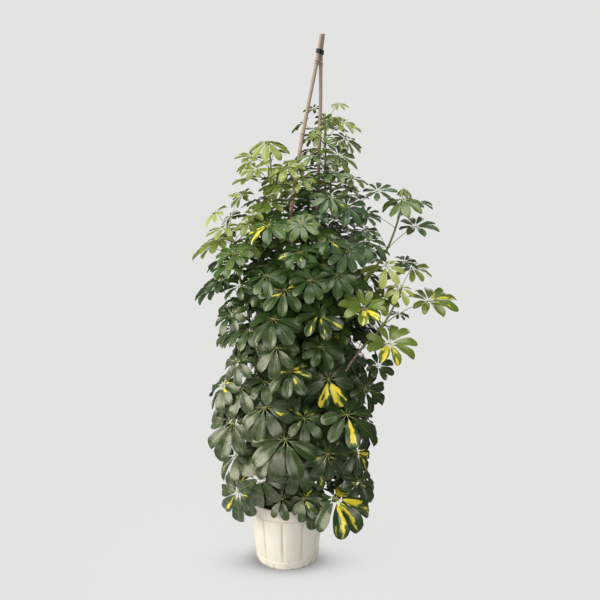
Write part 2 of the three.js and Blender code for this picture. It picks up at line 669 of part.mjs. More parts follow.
function placeChosenLeaves(stem) {
  const random = seededRandom(stem.phase + 1);
  for (const [x, y, z, length, face, tilt, droop] of stem.leaves) {
    for (let attempt = 0; attempt < TRIES.chosen; attempt += 1) {
      const shift = Math.min(attempt, 30) * 0.8;
      const [right, back, up] = [0.4, 1, 0.5].map((share) => random(-shift, shift) * share);
      const hub = vec(x + right, y + back, z + up);
      const root = rootFor(stem, hub, random(0.3, 1.1));
      const turned = face !== undefined;
      const axis = turned ? heading(face + shift * 0.4, tilt) : natural(hub, root, random);
      const size = length * (1 - attempt * 0.004);
      if (tryLeaf(stem, hub, root, size, axis, random, droop, turned)) break;
    }
  }
}

// The end of each stem carries leaves all round, from its middle to its tip, by the golden angle.
function placeTipLeaves(stem) {
  const random = seededRandom(stem.phase + 1000);
  for (let i = 0; i < stem.fill; i += 1) {
    const at = mix(stem.leafy, 0.985, (i + 0.5) / stem.fill);
    const root = stem.spine.getPointAt(at);
    const [size, reach] = lookUp(LEAF_SIZE, root.z);
    const tip = THREE.MathUtils.smoothstep(at, 0.88, 1);
    const youth = mix(1, 0.65, tip);
    for (let attempt = 0; attempt < TRIES.tip; attempt += 1) {
      const turn = stem.phase + i * GOLDEN_ANGLE + random(-1, 1) * attempt * 2;
      const rise = mix(random(24, 50), 64, tip);
      const hub = root.clone().addScaledVector(heading(turn, rise), reach * youth * random(0.75, 1.35));
      const length = size * youth * random(0.86, 1.06);
      if (hidesShown(hub, length)) continue;
      if (tryLeaf(stem, hub, root, length, natural(hub, root, random), random)) break;
    }
  }
}

// The body of the plant is filled in layers, the outermost first. In each layer the leaves climb
// round the crown by the golden angle, and each grows from the stem that carries it best.
function placeBodyLeaves() {
  const random = seededRandom(7);
  let turn = 0;
  for (const [layer, spacing] of BODY_LAYERS) {
    for (let z = 262; z < 1330;) {
      const [middle, wide, deep] = lookUp(CROWN, z);
      const [size, reach] = lookUp(LEAF_SIZE, z);
      turn += GOLDEN_ANGLE;
      z += (spacing * size * size) / (wide + deep);
      for (let attempt = 0; attempt < TRIES.body; attempt += 1) {
        const way = heading(turn + random(-2, 2) * attempt, 0);
        const share = layer - random(0, 0.006) * attempt;
        const hub = vec(middle + way.x * (wide - size * 0.6) * share, way.y * (deep - size * 0.6) * share, z);
        const choices = STEMS.map((stem) => ({ stem, root: rootFor(stem, hub, random(0.35, 0.9)) }));
        choices.sort((a, b) => a.root.distanceTo(hub) - b.root.distanceTo(hub));
        const { stem, root } = choices[0];
        const far = root.distanceTo(hub);
        const length = size * random(0.85, 1.05);
        if (far > 1.9 * reach || far < 0.35 * reach || hidesShown(hub, length)) continue;
        if (tryLeaf(stem, hub, root, length, natural(hub, root, random), random)) break;
      }
    }
  }
}

function leafSolid(shape) {
  const geometry = new THREE.BufferGeometry().setFromPoints(leafFaces(shape).flat());
  return solid(geometry);
}

function growStems() {
  for (const points of [LEFT_CANE, RIGHT_CANE]) {
    addRods(through(points), evenStations(20, () => CANE_RADIUS[0] + CANE_KNUCKLE), 'cane');
  }
  for (const stem of STEMS) {
    const [x, y] = stem.path[0];
    const foot = [[x, y, STEM_FOOT], [x, y, 188], [x, y, SOIL_TOP]];
    stem.curve = through([...foot, ...stem.path]);
    // The stem is straight in its hole, and bends from there on.
    const free = (SOIL_TOP + 4 - STEM_FOOT) / stem.curve.getLength();
    const rings = evenStations(stem.path.length + 4, () => 0).map(({ at }) => mix(free, 1, at));
    stem.stations = [0, ...rings].map((at) => ({ at, radius: mix(stem.radius, STEM_TIP_RADIUS, at) }));
    stem.spine = spineOf(stem.curve, stem.stations);
    stem.shapes = [];
    addRods(stem.curve, stem.stations, stem.name);
  }
  STEMS.forEach(placeChosenLeaves);
  STEMS.forEach(placeTipLeaves);
  placeBodyLeaves();
}

function makeStem(stem) {
  const base = solid(tube(stem.curve, stem.stations, STEM_SIDES));
  return stem.shapes.reduce((joined, shape) => joined.add(leafSolid(shape)), base);
}

// ---------------------------------------------------------------- soil

function makeSoil() {
  const bottom = POT_FLOOR + CLEARANCE;
  const wall = (z) => innerRadius(z) - SOIL_EDGE_GAP;
  const profile = [
    [0, bottom],
    [wall(bottom), bottom],
    [wall(SOIL_TOP - 3), SOIL_TOP - 3],
    [60, SOIL_TOP + 1],
    [0, SOIL_TOP],
  ].map(([x, y]) => new THREE.Vector2(x, y));
  const lathe = new THREE.LatheGeometry(profile, 24).rotateX(Math.PI / 2);
  let soil = solid(lathe);
  for (const stem of STEMS) {
    const [x, y] = stem.path[0];
    const depth = 60;
    const radius = stem.radius + 1.2;
    const hole = new THREE.CylinderGeometry(radius, radius, depth, HOLE_SIDES).rotateX(Math.PI / 2);
    hole.translate(x, y, STEM_FOOT - CLEARANCE + depth / 2);
    soil = soil.subtract(solid(hole));
  }
  for (const points of [LEFT_CANE, RIGHT_CANE]) {
    const [from, to] = [vec(...points[0]), vec(...points[2])];
    const along = to.clone().sub(from);
    const radius = CANE_RADIUS[0] + 1.1;
    const hole = new THREE.CylinderGeometry(radius, radius, along.length(), HOLE_SIDES);
    hole.translate(0, along.length() / 2 - 2 * CLEARANCE, 0);
    hole.applyQuaternion(new THREE.Quaternion().setFromUnitVectors(vec(0, 1, 0), along.clone().normalize()));
    hole.translate(from.x, from.y, from.z);
    soil = soil.subtract(solid(hole));
  }
  return piece('soil', soil, 0x3a2c22, 0.95);
}

// ---------------------------------------------------------------- assembly

growStems();

const leftCane = makeCane(LEFT_CANE, 84);
const rightCane = makeCane(RIGHT_CANE, 92);

const plant = new THREE.Group();
plant.add(makePot());
plant.add(makeSoil());
plant.add(piece('cane_left', leftCane.body, 0xb08a6c, 0.6));
plant.add(piece('cane_right', rightCane.body, 0xa88468, 0.6));
plant.add(piece('cane_tie', makeTie(leftCane.spine, rightCane.spine), 0x23262f, 0.5));
for (const stem of STEMS) plant.add(piece(stem.name, makeStem(stem), 0x3f5c2f, 0.45));

export default plant;
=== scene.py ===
"""The looks of a variegated umbrella plant in a cream plastic pot, with two tied bamboo canes.

Metres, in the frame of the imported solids: the origin is under the middle of the pot, +Z is up and -Y is
the front. The hubs, facings and reaches of the leaves are read back from the solids of their stems.
"""

import math
import random

import bmesh
import bpy
import numpy as np
from mathutils import Matrix, Vector, noise


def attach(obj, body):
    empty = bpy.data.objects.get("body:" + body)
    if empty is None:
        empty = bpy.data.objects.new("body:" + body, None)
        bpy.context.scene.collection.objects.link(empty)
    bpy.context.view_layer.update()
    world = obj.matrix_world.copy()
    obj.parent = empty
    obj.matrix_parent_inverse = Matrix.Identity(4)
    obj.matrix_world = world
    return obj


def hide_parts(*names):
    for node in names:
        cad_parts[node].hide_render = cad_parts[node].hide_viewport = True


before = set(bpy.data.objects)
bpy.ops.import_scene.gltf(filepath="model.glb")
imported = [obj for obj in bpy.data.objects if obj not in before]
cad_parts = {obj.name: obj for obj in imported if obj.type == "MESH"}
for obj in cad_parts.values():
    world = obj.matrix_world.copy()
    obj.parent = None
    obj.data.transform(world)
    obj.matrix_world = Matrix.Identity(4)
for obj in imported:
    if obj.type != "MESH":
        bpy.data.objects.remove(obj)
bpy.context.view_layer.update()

# ---------------------------------------------------------------- pot
# A nursery pot of cream polypropylene, moulded in one shot: a tapered body of eleven shallow panels
# between a foot ring and a plain collar with a rolled rim, and four drain notches under its edge.

POT_HEIGHT = 0.232
POT_BASE_RADIUS = 0.1105
POT_FLARE = 0.1033  # growth of the radius over the height
POT_WALL = 0.004
POT_FLOOR = 0.008
POT_CORNER = 0.0012
FOOT_TOP = 0.027
FOOT_STEP = 0.0016  # how far the foot ring, the collar and the rim stand out of the cone
COLLAR_BOTTOM = 0.189
COLLAR_STEP = 0.002
RIM_STEP = 0.0022
PANELS = 11
PANEL_TURN = math.radians(-96.5)  # the groove nearest the front
PANEL_BOTTOM = 0.033
PANEL_TOP = 0.1825
PANEL_FADE = (0.004, 0.003)  # the heights over which a panel begins and ends
PANEL_CROWN = 0.0008
GROOVE_HALF_WIDTH = math.radians(2.5)
GROOVE_DEPTH = 0.003
NOTCHES = 4
NOTCH_TURN = math.radians(-69)
NOTCH_HALF_WIDTH = 0.015
NOTCH_HEIGHT = 0.005
NOTCH_RADII = (0.09, 0.1)  # where its roof begins, a fifth lower, and where it has its full height
CREASE_HALF_WIDTH = 0.0024  # of the painted shade in the corner under the collar


class Socket:
    """One output of a node. Python's arithmetic on it adds Math nodes to the same tree."""

    def __init__(self, graph, end):
        self.graph = graph
        self.end = end

    def math(self, operation, *operands):
        return self.graph.node("ShaderNodeMath", {"operation": operation}, dict(enumerate(operands)))

    def __add__(self, other):
        return self.math("ADD", self, other)

    def __sub__(self, other):
        return self.math("SUBTRACT", self, other)

    def __rsub__(self, other):
        return self.math("SUBTRACT", other, self)

    def __mul__(self, other):
        return self.math("MULTIPLY", self, other)

    def __truediv__(self, other):
        return self.math("DIVIDE", self, other)

    def __abs__(self):
        return self.math("ABSOLUTE", self)

    def sine(self):
        return self.math("SINE", self)

    def exponent(self):
        return self.math("EXPONENT", self)

    def step(self, low, high):
        """0 below low and 1 above high, with a soft change between them."""
        inputs = {"Value": self, "From Min": low, "From Max": high}
        return self.graph.node("ShaderNodeMapRange", {"interpolation_type": "SMOOTHSTEP"}, inputs)

    __radd__ = __add__
    __rmul__ = __mul__


class Graph:
    """Adds nodes to one tree."""

    def __init__(self, tree):
        self.tree = tree
        tree.nodes.clear()

    def node(self, kind, settings=None, inputs=None, out=0):
        """One output of a new node of this type. stops are the colours of a ramp and their places."""
        made = self.tree.nodes.new(kind)
        for key, value in (settings or {}).items():
            if key == "stops":
                elements = made.color_ramp.elements
                while len(elements) < len(value):
                    elements.new(0.5)
                for element, (place, colour) in zip(elements, value):
                    element.position = place
                    element.color = (*colour, 1)
            else:
                setattr(made, key, value)
        for key, value in (inputs or {}).items():
            if isinstance(key, int):
                socket = made.inputs[key]
            else:
                socket = next(s for s in made.inputs if s.name == key and s.enabled)
            if isinstance(value, Socket):
                self.tree.links.new(value.end, socket)
            elif socket.type == "RGBA" and len(value) == 3:
                socket.default_value = (*value, 1)
            else:
                socket.default_value = value
        if not made.outputs:
            return None
        if isinstance(out, str):
            return Socket(self, next(s for s in made.outputs if s.name == out and s.enabled))
        return Socket(self, [s for s in made.outputs if s.enabled][out])


class Finish(Graph):
    """A material made of nodes around one Principled shader."""

    def __init__(self, name):
        self.material = bpy.data.materials.new(name)
        self.material.use_nodes = True
        super().__init__(self.material.node_tree)

    def place(self):
        return self.node("ShaderNodeTexCoord", {}, {}, "Object")

    def attribute(self, name):
        return self.node("ShaderNodeAttribute", {"attribute_name": name}, {}, "Fac")

    def part(self, vector, axis):
        return self.node("ShaderNodeSeparateXYZ", {}, {0: vector}, axis)

    def stretched(self, vector, scale):
        """The vector with its three parts scaled, so that a pattern on it is stretched."""
        return self.node("ShaderNodeVectorMath", {"operation": "MULTIPLY"}, {0: vector, 1: scale})

    def grain(self, vector, scale, detail=2.0, roughness=0.5):
        inputs = {"Vector": vector, "Scale": scale, "Detail": detail, "Roughness": roughness}
        return self.node("ShaderNodeTexNoise", {}, inputs)

    def mixed(self, share, first, second):
        """A colour between two: all first where share is 0, and all second where it is 1."""
        inputs = {"Factor": share, "A": first, "B": second}
        return self.node("ShaderNodeMix", {"data_type": "RGBA"}, inputs, "Result")

    def bump(self, height, distance, strength=1.0):
        return self.node("ShaderNodeBump", {}, {"Height": height, "Distance": distance, "Strength": strength})

    def close(self, sockets):
        shader = self.node("ShaderNodeBsdfPrincipled", {}, sockets)
        self.node("ShaderNodeOutputMaterial", {}, {"Surface": shader})
        return self.material


def cream_plastic():
    """Satin cream plastic that has yellowed a little, with painted shade in its grooves and under its collar,
    and splashes at the foot.
    """
    finish = Finish("cream_plastic")
    place = finish.place()
    height = finish.part(place, "Z")
    clouds = finish.grain(place, 9, 4)
    specks = finish.grain(place, 260, 3, 0.7)
    streaks = finish.grain(finish.stretched(place, (60, 60, 5)), 1, 4)
    splashes = finish.grain(finish.stretched(place, (40, 40, 25)), 1, 5, 0.7)
    colour = finish.mixed(clouds.step(0.35, 0.7), (0.665, 0.64, 0.575), (0.61, 0.58, 0.505))
    colour = finish.mixed(streaks.step(0.55, 0.75) * 0.25, colour, (0.50, 0.45, 0.34))
    low = 1 - height.step(0.0, 0.06)
    colour = finish.mixed(splashes.step(0.50, 0.62) * low * 0.6, colour, (0.33, 0.27, 0.18))
    edge = 1 - height.step(0.001, 0.009)
    colour = finish.mixed(splashes.step(0.42, 0.55) * edge * 0.8, colour, (0.20, 0.16, 0.11))
    colour = finish.mixed(specks.step(0.66, 0.72) * 0.35, colour, (0.30, 0.25, 0.18))
    # painted shade, a brownish dark, in the grooves and in the corner under the collar
    colour = finish.mixed(finish.attribute("crease") * (streaks * 0.6 + 0.55), colour, (0.40, 0.29, 0.22))
    inside = finish.attribute("inside")
    colour = finish.mixed(inside * 0.4, colour, (0.30, 0.25, 0.18))
    roughness = clouds * 0.15 + 0.42 + low * 0.12
    waves = finish.grain(place, 30, 2) * 0.7 + finish.grain(place, 900, 2) * 0.06
    sockets = {"Base Color": colour, "Roughness": roughness, "Normal": finish.bump(waves, 0.0006, 0.6)}
    return finish.close(sockets)


def rounded(corners, radius, steps=3):
    """An outline with each inner corner turned into a small arc. The first and last points stay."""
    outline = [Vector(corners[0])]
    for before, corner, after in zip(corners, corners[1:], corners[2:]):
        before, corner, after = Vector(before), Vector(corner), Vector(after)
        back, on = before - corner, after - corner
        reach = min(radius, back.length * 0.4, on.length * 0.4)  # so that two arcs never meet
        start, end = corner + back.normalized() * reach, corner + on.normalized() * reach
        for i in range(steps + 1):
            share = i / steps
            outline.append(start.lerp(corner, share).lerp(corner.lerp(end, share), share))
    outline.append(Vector(corners[-1]))
    return outline


def body_radius(height):
    """The radius of the pot's plain cone."""
    return POT_BASE_RADIUS + POT_FLARE * height


def pot_outline():
    """Half of the pot's section, from the middle of its underside to the middle of its floor."""
    foot = body_radius(FOOT_TOP) + FOOT_STEP
    collar = body_radius(COLLAR_BOTTOM) + COLLAR_STEP
    rim = body_radius(POT_HEIGHT) + RIM_STEP
    corners = [
        (0, 0),
        (0.094, 0),
        (0.1095, 0),
        (POT_BASE_RADIUS + FOOT_STEP, 0.003),
        (foot, FOOT_TOP),
        (foot - 0.0018, FOOT_TOP + 0.002),
        *((body_radius(height), height) for height in (PANEL_BOTTOM, 0.07, 0.11, 0.15, PANEL_TOP)),
        (body_radius(COLLAR_BOTTOM), COLLAR_BOTTOM),
        (collar, COLLAR_BOTTOM + 0.0015),
        (rim - 0.0007, POT_HEIGHT - 0.006),
        (rim, POT_HEIGHT - 0.003),
        (rim - 0.001, POT_HEIGHT),
        (body_radius(POT_HEIGHT) - POT_WALL, POT_HEIGHT),
        (body_radius(POT_FLOOR) - POT_WALL, POT_FLOOR),
        (0, POT_FLOOR),
    ]
    return rounded(corners, POT_CORNER)


def from_nearest(turn, first, count):
    """The angle from the nearest of this many places that are spread evenly round the pot."""
    pitch = 2 * math.pi / count
    return (turn - first + pitch / 2) % pitch - pitch / 2


def ramp(value, start, end):
    """0 up to the start and 1 from the end on, with an even change between them."""
    return min(1, max(0, (value - start) / (end - start)))


def groove_at(turn):
    """1 in the middle of a groove and 0 beside it."""
    return 1 - ramp(abs(from_nearest(turn, PANEL_TURN, PANELS)), 0, GROOVE_HALF_WIDTH)


def panel_relief(turn, height):
    """How far the wall stands in or out of its plain cone."""
    begun = ramp(height, PANEL_BOTTOM, PANEL_BOTTOM + PANEL_FADE[0])
    left = ramp(height, PANEL_TOP, PANEL_TOP - PANEL_FADE[1])
    crown = math.cos(from_nearest(turn, PANEL_TURN, PANELS) * PANELS / 2) ** 2
    return min(begun, left) * (PANEL_CROWN * (1 - crown) - GROOVE_DEPTH * groove_at(turn))


def pot_turns():
    """The angles of the mesh's columns: close together in the grooves and wider on the panels."""
    pitch = 2 * math.pi / PANELS
    groove = [GROOVE_HALF_WIDTH * share for share in (-1, -0.55, -0.12, 0.12, 0.55, 1)]
    panel = [GROOVE_HALF_WIDTH + (pitch - 2 * GROOVE_HALF_WIDTH) * i / 10 for i in range(1, 10)]
    return [PANEL_TURN + pitch * n + step for n in range(PANELS) for step in groove + panel]


def turned(turn, radius, height):
    """A point of a turned piece."""
    return (radius * math.cos(turn), radius * math.sin(turn), height)


def add_face(shell, corners):
    """A face between these corners, of which some may be one point."""
    return shell.faces.new(list(dict.fromkeys(corners)))


def lathe(outline, turns, shape=turned):
    """A closed shell of revolution whose ends lie on the axis. shape places each point of it."""
    shell = bmesh.new()
    columns = []
    ends = [shell.verts.new((0, 0, outline[0].y)), shell.verts.new((0, 0, outline[-1].y))]
    for turn in turns:
        points = [shape(turn, radius, height) for radius, height in outline[1:-1]]
        columns.append([ends[0], *(shell.verts.new(point) for point in points), ends[1]])
    for column, following in zip(columns, columns[1:] + columns[:1]):
        for i in range(len(column) - 1):
            add_face(shell, [column[i], following[i], following[i + 1], column[i + 1]])
    bmesh.ops.recalc_face_normals(shell, faces=shell.faces)
    return shell


def as_mesh(name, shell):
    """The mesh of a finished shell, which is then freed."""
    mesh = bpy.data.meshes.new(name)
    shell.to_mesh(mesh)
    shell.free()
    return mesh


def mark(mesh, label, values, domain="POINT"):
    """Gives every point of a mesh, or every face, a number of this name for its material to read."""
    mesh.attributes.new(label, "FLOAT", domain).data.foreach_set("value", values)


def put_in_scene(name, data):
    made = bpy.data.objects.new(name, data)
    bpy.context.scene.collection.objects.link(made)
    return made


def add_piece(name, mesh, material):
    """A finished piece, at the origin, that rides on the one body. Without a material it keeps its own."""
    piece = put_in_scene(name, mesh)
    if material:
        mesh.materials.clear()
        mesh.materials.append(material)
    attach(piece, "root")
    return piece


def shade(mesh, sharp_angle=180):
    """Smooth shading, with a crease at each edge that turns more than the angle."""
    mesh.polygons.foreach_set("use_smooth", [True] * len(mesh.polygons))
    if sharp_angle < 180:
        mesh.set_sharp_from_angle(angle=math.radians(sharp_angle))


def pot_point(turn, radius, height):
    """A point of the pot: drawn in by the grooves and lifted by the drain notches."""
    outside = radius > body_radius(height) - POT_WALL * 0.6
    if outside and height > FOOT_TOP:
        radius += panel_relief(turn, height)
    off_notch = abs(from_nearest(turn, NOTCH_TURN, NOTCHES)) * radius
    in_notch = radius > NOTCH_RADII[0] and off_notch < NOTCH_HALF_WIDTH
    if in_notch and height < NOTCH_HEIGHT:
        height = NOTCH_HEIGHT * (0.8 if radius < NOTCH_RADII[1] else 1)
    return turned(turn, radius, height)


def is_inside(point):
    """Whether a point of the pot is on the inner side of its wall or on its floor."""
    return point.z > POT_FLOOR * 0.75 and point.xy.length < body_radius(point.z) - POT_WALL * 0.8


def painted_shade_at(point):
    """How much painted shade a point of the outside gets: most in the grooves and in the corner under the
    collar.
    """
    if is_inside(point):
        return 0.0
    on_panel = PANEL_BOTTOM < point.z < PANEL_TOP
    groove = groove_at(math.atan2(point.y, point.x)) if on_panel else 0
    corner = 1 - ramp(abs(point.z - COLLAR_BOTTOM), 0, CREASE_HALF_WIDTH)
    return max(groove * 0.6, corner)


def make_pot():
    mesh = as_mesh("pot", lathe(pot_outline(), pot_turns(), pot_point))
    shade(mesh, 40)
    mark(mesh, "inside", [float(is_inside(vert.co)) for vert in mesh.vertices])
    mark(mesh, "crease", [painted_shade_at(vert.co) for vert in mesh.vertices])
    pot = add_piece("nursery_pot", mesh, cream_plastic())
    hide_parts("pot")


make_pot()

# ---------------------------------------------------------------- soil
# Dark potting mix of peat and composted bark, filled to a thumb's width below the rim and firmed round
# the stems and canes. Loose crumbs and chips lie on top.

SOIL_BOTTOM = 0.0085
SOIL_TOP = 0.206
SOIL_WALL_GAP = 0.0013
SOIL_RINGS = (0.98, 0.9, 0.8, 0.7, 0.6, 0.5, 0.4, 0.3, 0.2, 0.1, 0)  # of the top, as shares of its radius
SOIL_SIDES = 72
CRUMBS = 700
CRUMB_SIZE = (0.002, 0.0075)


def peat():
    """Brown-black crumbs, some of them paler and drier, with a rough matt surface."""
    finish = Finish("peat")
    place = finish.place()
    crumbs = finish.grain(place, 160, 5, 0.7)
    colour = finish.mixed(crumbs.step(0.35, 0.7), (0.012, 0.008, 0.006), (0.055, 0.036, 0.024))
    chips = finish.grain(place, 55, 2)
    colour = finish.mixed(chips.step(0.62, 0.7) * 0.7, colour, (0.13, 0.085, 0.05))
    return finish.close({"Base Color": colour, "Roughness": 0.95, "Normal": finish.bump(crumbs, 0.002)})


PEAT = peat()


def make_soil():
    wall = body_radius(SOIL_TOP) - POT_WALL - SOIL_WALL_GAP
    foot = body_radius(SOIL_BOTTOM) - POT_WALL - SOIL_WALL_GAP
    outline = [(0, SOIL_BOTTOM), (foot, SOIL_BOTTOM), (wall, SOIL_TOP - 0.004)]
    outline += [(wall * share, SOIL_TOP) for share in SOIL_RINGS]
    turns = [2 * math.pi * i / SOIL_SIDES for i in range(SOIL_SIDES)]
    mesh = as_mesh("soil", lathe([Vector(point) for point in outline], turns))
    shade(mesh)
    soil = add_piece("potting_soil", mesh, PEAT)
    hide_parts("soil")
    return mesh


class Tree(Graph):
    """A Geometry Nodes tree with named inputs, which is run once on a mesh."""

    def __init__(self, name, inputs):
        self.group = bpy.data.node_groups.new(name, "GeometryNodeTree")
        super().__init__(self.group)
        self.group.interface.new_socket("Geometry", in_out="INPUT", socket_type="NodeSocketGeometry")
        self.keys = {}
        for label, kind in inputs.items():
            socket = self.group.interface.new_socket(label, in_out="INPUT", socket_type="NodeSocket" + kind)
            self.keys[label] = socket.identifier
        self.group.interface.new_socket("Geometry", in_out="OUTPUT", socket_type="NodeSocketGeometry")
        self.entry = self.group.nodes.new("NodeGroupInput")

    def given(self, label):
        return Socket(self, self.entry.outputs[label])

    def named(self, name, kind="FLOAT"):
        return self.node("GeometryNodeInputNamedAttribute", {"data_type": kind}, {"Name": name})

    def close(self, geometry):
        """Realizes the geometry, gives it its material and ends the tree."""
        geometry = self.node("GeometryNodeRealizeInstances", {}, {"Geometry": geometry})
        inputs = {"Geometry": geometry, "Material": self.given("Material")}
        geometry = self.node("GeometryNodeSetMaterial", {}, inputs)
        self.node("NodeGroupOutput", {}, {"Geometry": geometry})

    def set_out(self, points, label, turn, size):
        """A copy of the object that this input names, on every point."""
        copied = self.node("GeometryNodeObjectInfo", {}, {"Object": self.given(label)}, "Geometry")
        inputs = {"Points": points, "Instance": copied, "Rotation": turn, "Scale": size}
        return self.node("GeometryNodeInstanceOnPoints", {}, inputs)

    def run(self, name, mesh, **values):
        """The plain mesh that the tree makes of this one."""
        holder = put_in_scene(name, mesh)
        modifier = holder.modifiers.new(name, "NODES")
        modifier.node_group = self.group
        for label, value in values.items():
            modifier[self.keys[label.replace("_", " ").capitalize()]] = value
        evaluated = holder.evaluated_get(bpy.context.evaluated_depsgraph_get())
        result = bpy.data.meshes.new_from_object(evaluated)
        bpy.data.objects.remove(holder)
        result.name = name
        return result


def crumb_shape():
    """One angular crumb of bark, a metre across until it is scattered."""
    shell = bmesh.new()
    bmesh.ops.create_icosphere(shell, subdivisions=1, radius=0.5)
    for vert in shell.verts:
        vert.co *= 1 + 0.35 * noise.noise(vert.co * 3 + Vector((5, 1, 2)))
        vert.co.z *= 0.6
    return bpy.data.objects.new("crumb", as_mesh("crumb", shell))


def crumb_tree():
    """Crumbs of every size and turn, strewn over the faces that look up near the top of a piece."""
    inputs = {"Crumb": "Object", "Amount": "Float", "Smallest": "Float", "Largest": "Float",
              "Material": "Material"}
    tree = Tree("scattered_crumbs", inputs)
    up = tree.node("ShaderNodeSeparateXYZ", {}, {0: tree.node("GeometryNodeInputNormal")}, "Z")
    high = tree.node("ShaderNodeSeparateXYZ", {}, {0: tree.node("GeometryNodeInputPosition")}, "Z")
    inputs = {0: up.step(0.7, 0.9), 1: high.step(SOIL_TOP - 0.016, SOIL_TOP - 0.006)}
    top = tree.node("FunctionNodeBooleanMath", {"operation": "AND"}, inputs)
    inputs = {"Mesh": tree.given("Geometry"), "Selection": top, "Density": tree.given("Amount"), "Seed": 4}
    points = tree.node("GeometryNodeDistributePointsOnFaces", {}, inputs)
    inputs = {"Max": (6.3, 6.3, 6.3), "Seed": 1}
    turn = tree.node("FunctionNodeRandomValue", {"data_type": "FLOAT_VECTOR"}, inputs)
    inputs = {"Min": tree.given("Smallest"), "Max": tree.given("Largest"), "Seed": 2}
    size = tree.node("FunctionNodeRandomValue", {"data_type": "FLOAT"}, inputs)
    tree.close(tree.set_out(points, "Crumb", turn, size))
    return tree


def scatter_crumbs(ground):
    crumb = crumb_shape()
    density = CRUMBS / (math.pi * body_radius(SOIL_TOP) ** 2)
    smallest, largest = CRUMB_SIZE
    mesh = crumb_tree().run("soil_crumbs", ground.copy(), crumb=crumb, amount=density, smallest=smallest,
                            largest=largest, material=PEAT)
    bpy.data.objects.remove(crumb)
    add_piece("soil_crumbs", mesh, None)


scatter_crumbs(make_soil())

# ---------------------------------------------------------------- bamboo canes
# Two straight-grown garden canes, pushed to the floor of the pot and leant together at the top. Each
# has a raised joint about every 23 cm, and a sawn tip that shows its hollow.

CANE_RADIUS = (0.0069, 0.0057)  # at the foot and at the tip
CANE_SIDES = 20
CANE_STEP = 0.004  # between its rings
CANE_WAIST = 0.0003  # how much it narrows halfway between two joints
JOINT_SPACING = 0.232
JOINT_RISE = 0.0012
JOINT_HALF_WIDTH = 0.0028
SHEATH_SCAR = (0.0075, 0.003)  # how far it lies below the joint, and half its width
BORE_SHARE = 0.5  # of the tip's radius
BORE_DEPTH = 0.014
LEFT_CANE = [
    (-0.078, -0.034, 0.014), (-0.069, -0.033, 0.120), (-0.060, -0.032, 0.226), (-0.028, -0.030, 0.650),
    (0.016, -0.025, 1.229), (0.049, -0.017, 1.453), (0.066, -0.013, 1.544), (0.106, -0.0054, 1.745),
    (0.1145, -0.006, 1.797),
]
RIGHT_CANE = [
    (0.086, 0.028, 0.014), (0.088, 0.0265, 0.120), (0.090, 0.025, 0.226), (0.098, 0.021, 0.700),
    (0.107, 0.016, 1.351), (0.113, 0.011, 1.591), (0.114, 0.0056, 1.745), (0.121, 0.006, 1.800),
]


def smooth_path(points, spacing):
    """Even points along the centripetal curve through these, and the length of the curve."""
    knots = [Vector(p) for p in points]
    knots = [2 * knots[0] - knots[1], *knots, 2 * knots[-1] - knots[-2]]
    pieces = 16  # of the curve between two of its points
    dense = []
    for a, b, c, d in zip(knots, knots[1:], knots[2:], knots[3:]):
        t1 = (b - a).length ** 0.5
        t2 = t1 + (c - b).length ** 0.5
        t3 = t2 + (d - c).length ** 0.5
        for i in range(pieces):
            t = t1 + (t2 - t1) * i / pieces
            ab, bc, cd = a.lerp(b, t / t1), b.lerp(c, (t - t1) / (t2 - t1)), c.lerp(d, (t - t2) / (t3 - t2))
            abc, bcd = ab.lerp(bc, t / t2), bc.lerp(cd, (t - t1) / (t3 - t1))
            dense.append(abc.lerp(bcd, (t - t1) / (t2 - t1)))
    dense.append(knots[-2])
    run = np.cumsum([0, *((q - p).length for p, q in zip(dense, dense[1:]))])
    stations = np.linspace(0, run[-1], max(2, round(run[-1] / spacing) + 1))
    columns = [np.interp(stations, run, [p[axis] for p in dense]) for axis in range(3)]
    return [Vector(p) for p in zip(*columns)], float(run[-1])


def bamboo():
    """Weathered cane: tan, and greyer towards the tip, with fine streaks, specks and a ring at each joint."""
    finish = Finish("bamboo")
    place = finish.place()
    streaks = finish.grain(finish.stretched(place, (900, 900, 14)), 1, 4, 0.6)
    patches = finish.grain(finish.stretched(place, (60, 60, 9)), 1, 3)
    specks = finish.grain(finish.stretched(place, (500, 500, 160)), 1, 2)
    joint = finish.attribute("joint")
    colour = finish.mixed(streaks.step(0.3, 0.75), (0.42, 0.30, 0.21), (0.27, 0.18, 0.125))
    colour = finish.mixed(patches.step(0.42, 0.7) * 0.55, colour, (0.22, 0.15, 0.11))
    aged = finish.part(place, "Z").step(1.35, 1.62) * 0.75
    colour = finish.mixed(aged, colour, (0.235, 0.20, 0.165))
    colour = finish.mixed(specks.step(0.68, 0.74) * 0.5, colour, (0.12, 0.075, 0.05))
    colour = finish.mixed(joint.step(0.35, 0.8) * 0.75, colour, (0.13, 0.08, 0.055))
    # the hollow of the sawn tip, and the end face towards it, painted dark: painted shade in the bore
    colour = finish.mixed(finish.attribute("cut"), colour, (0.10, 0.07, 0.05))
    relief = finish.bump(streaks * 0.5 + specks * 0.2, 0.0004, 0.5)
    return finish.close({"Base Color": colour, "Roughness": patches * 0.25 + 0.42, "Normal": relief})


BAMBOO = bamboo()


def ring_frame(path, i):
    """The two directions across a path at one of its points."""
    ahead = (path[min(i + 1, len(path) - 1)] - path[max(i - 1, 0)]).normalized()
    side = Vector((0, 1, 0)).cross(ahead).normalized()
    return side, ahead.cross(side)


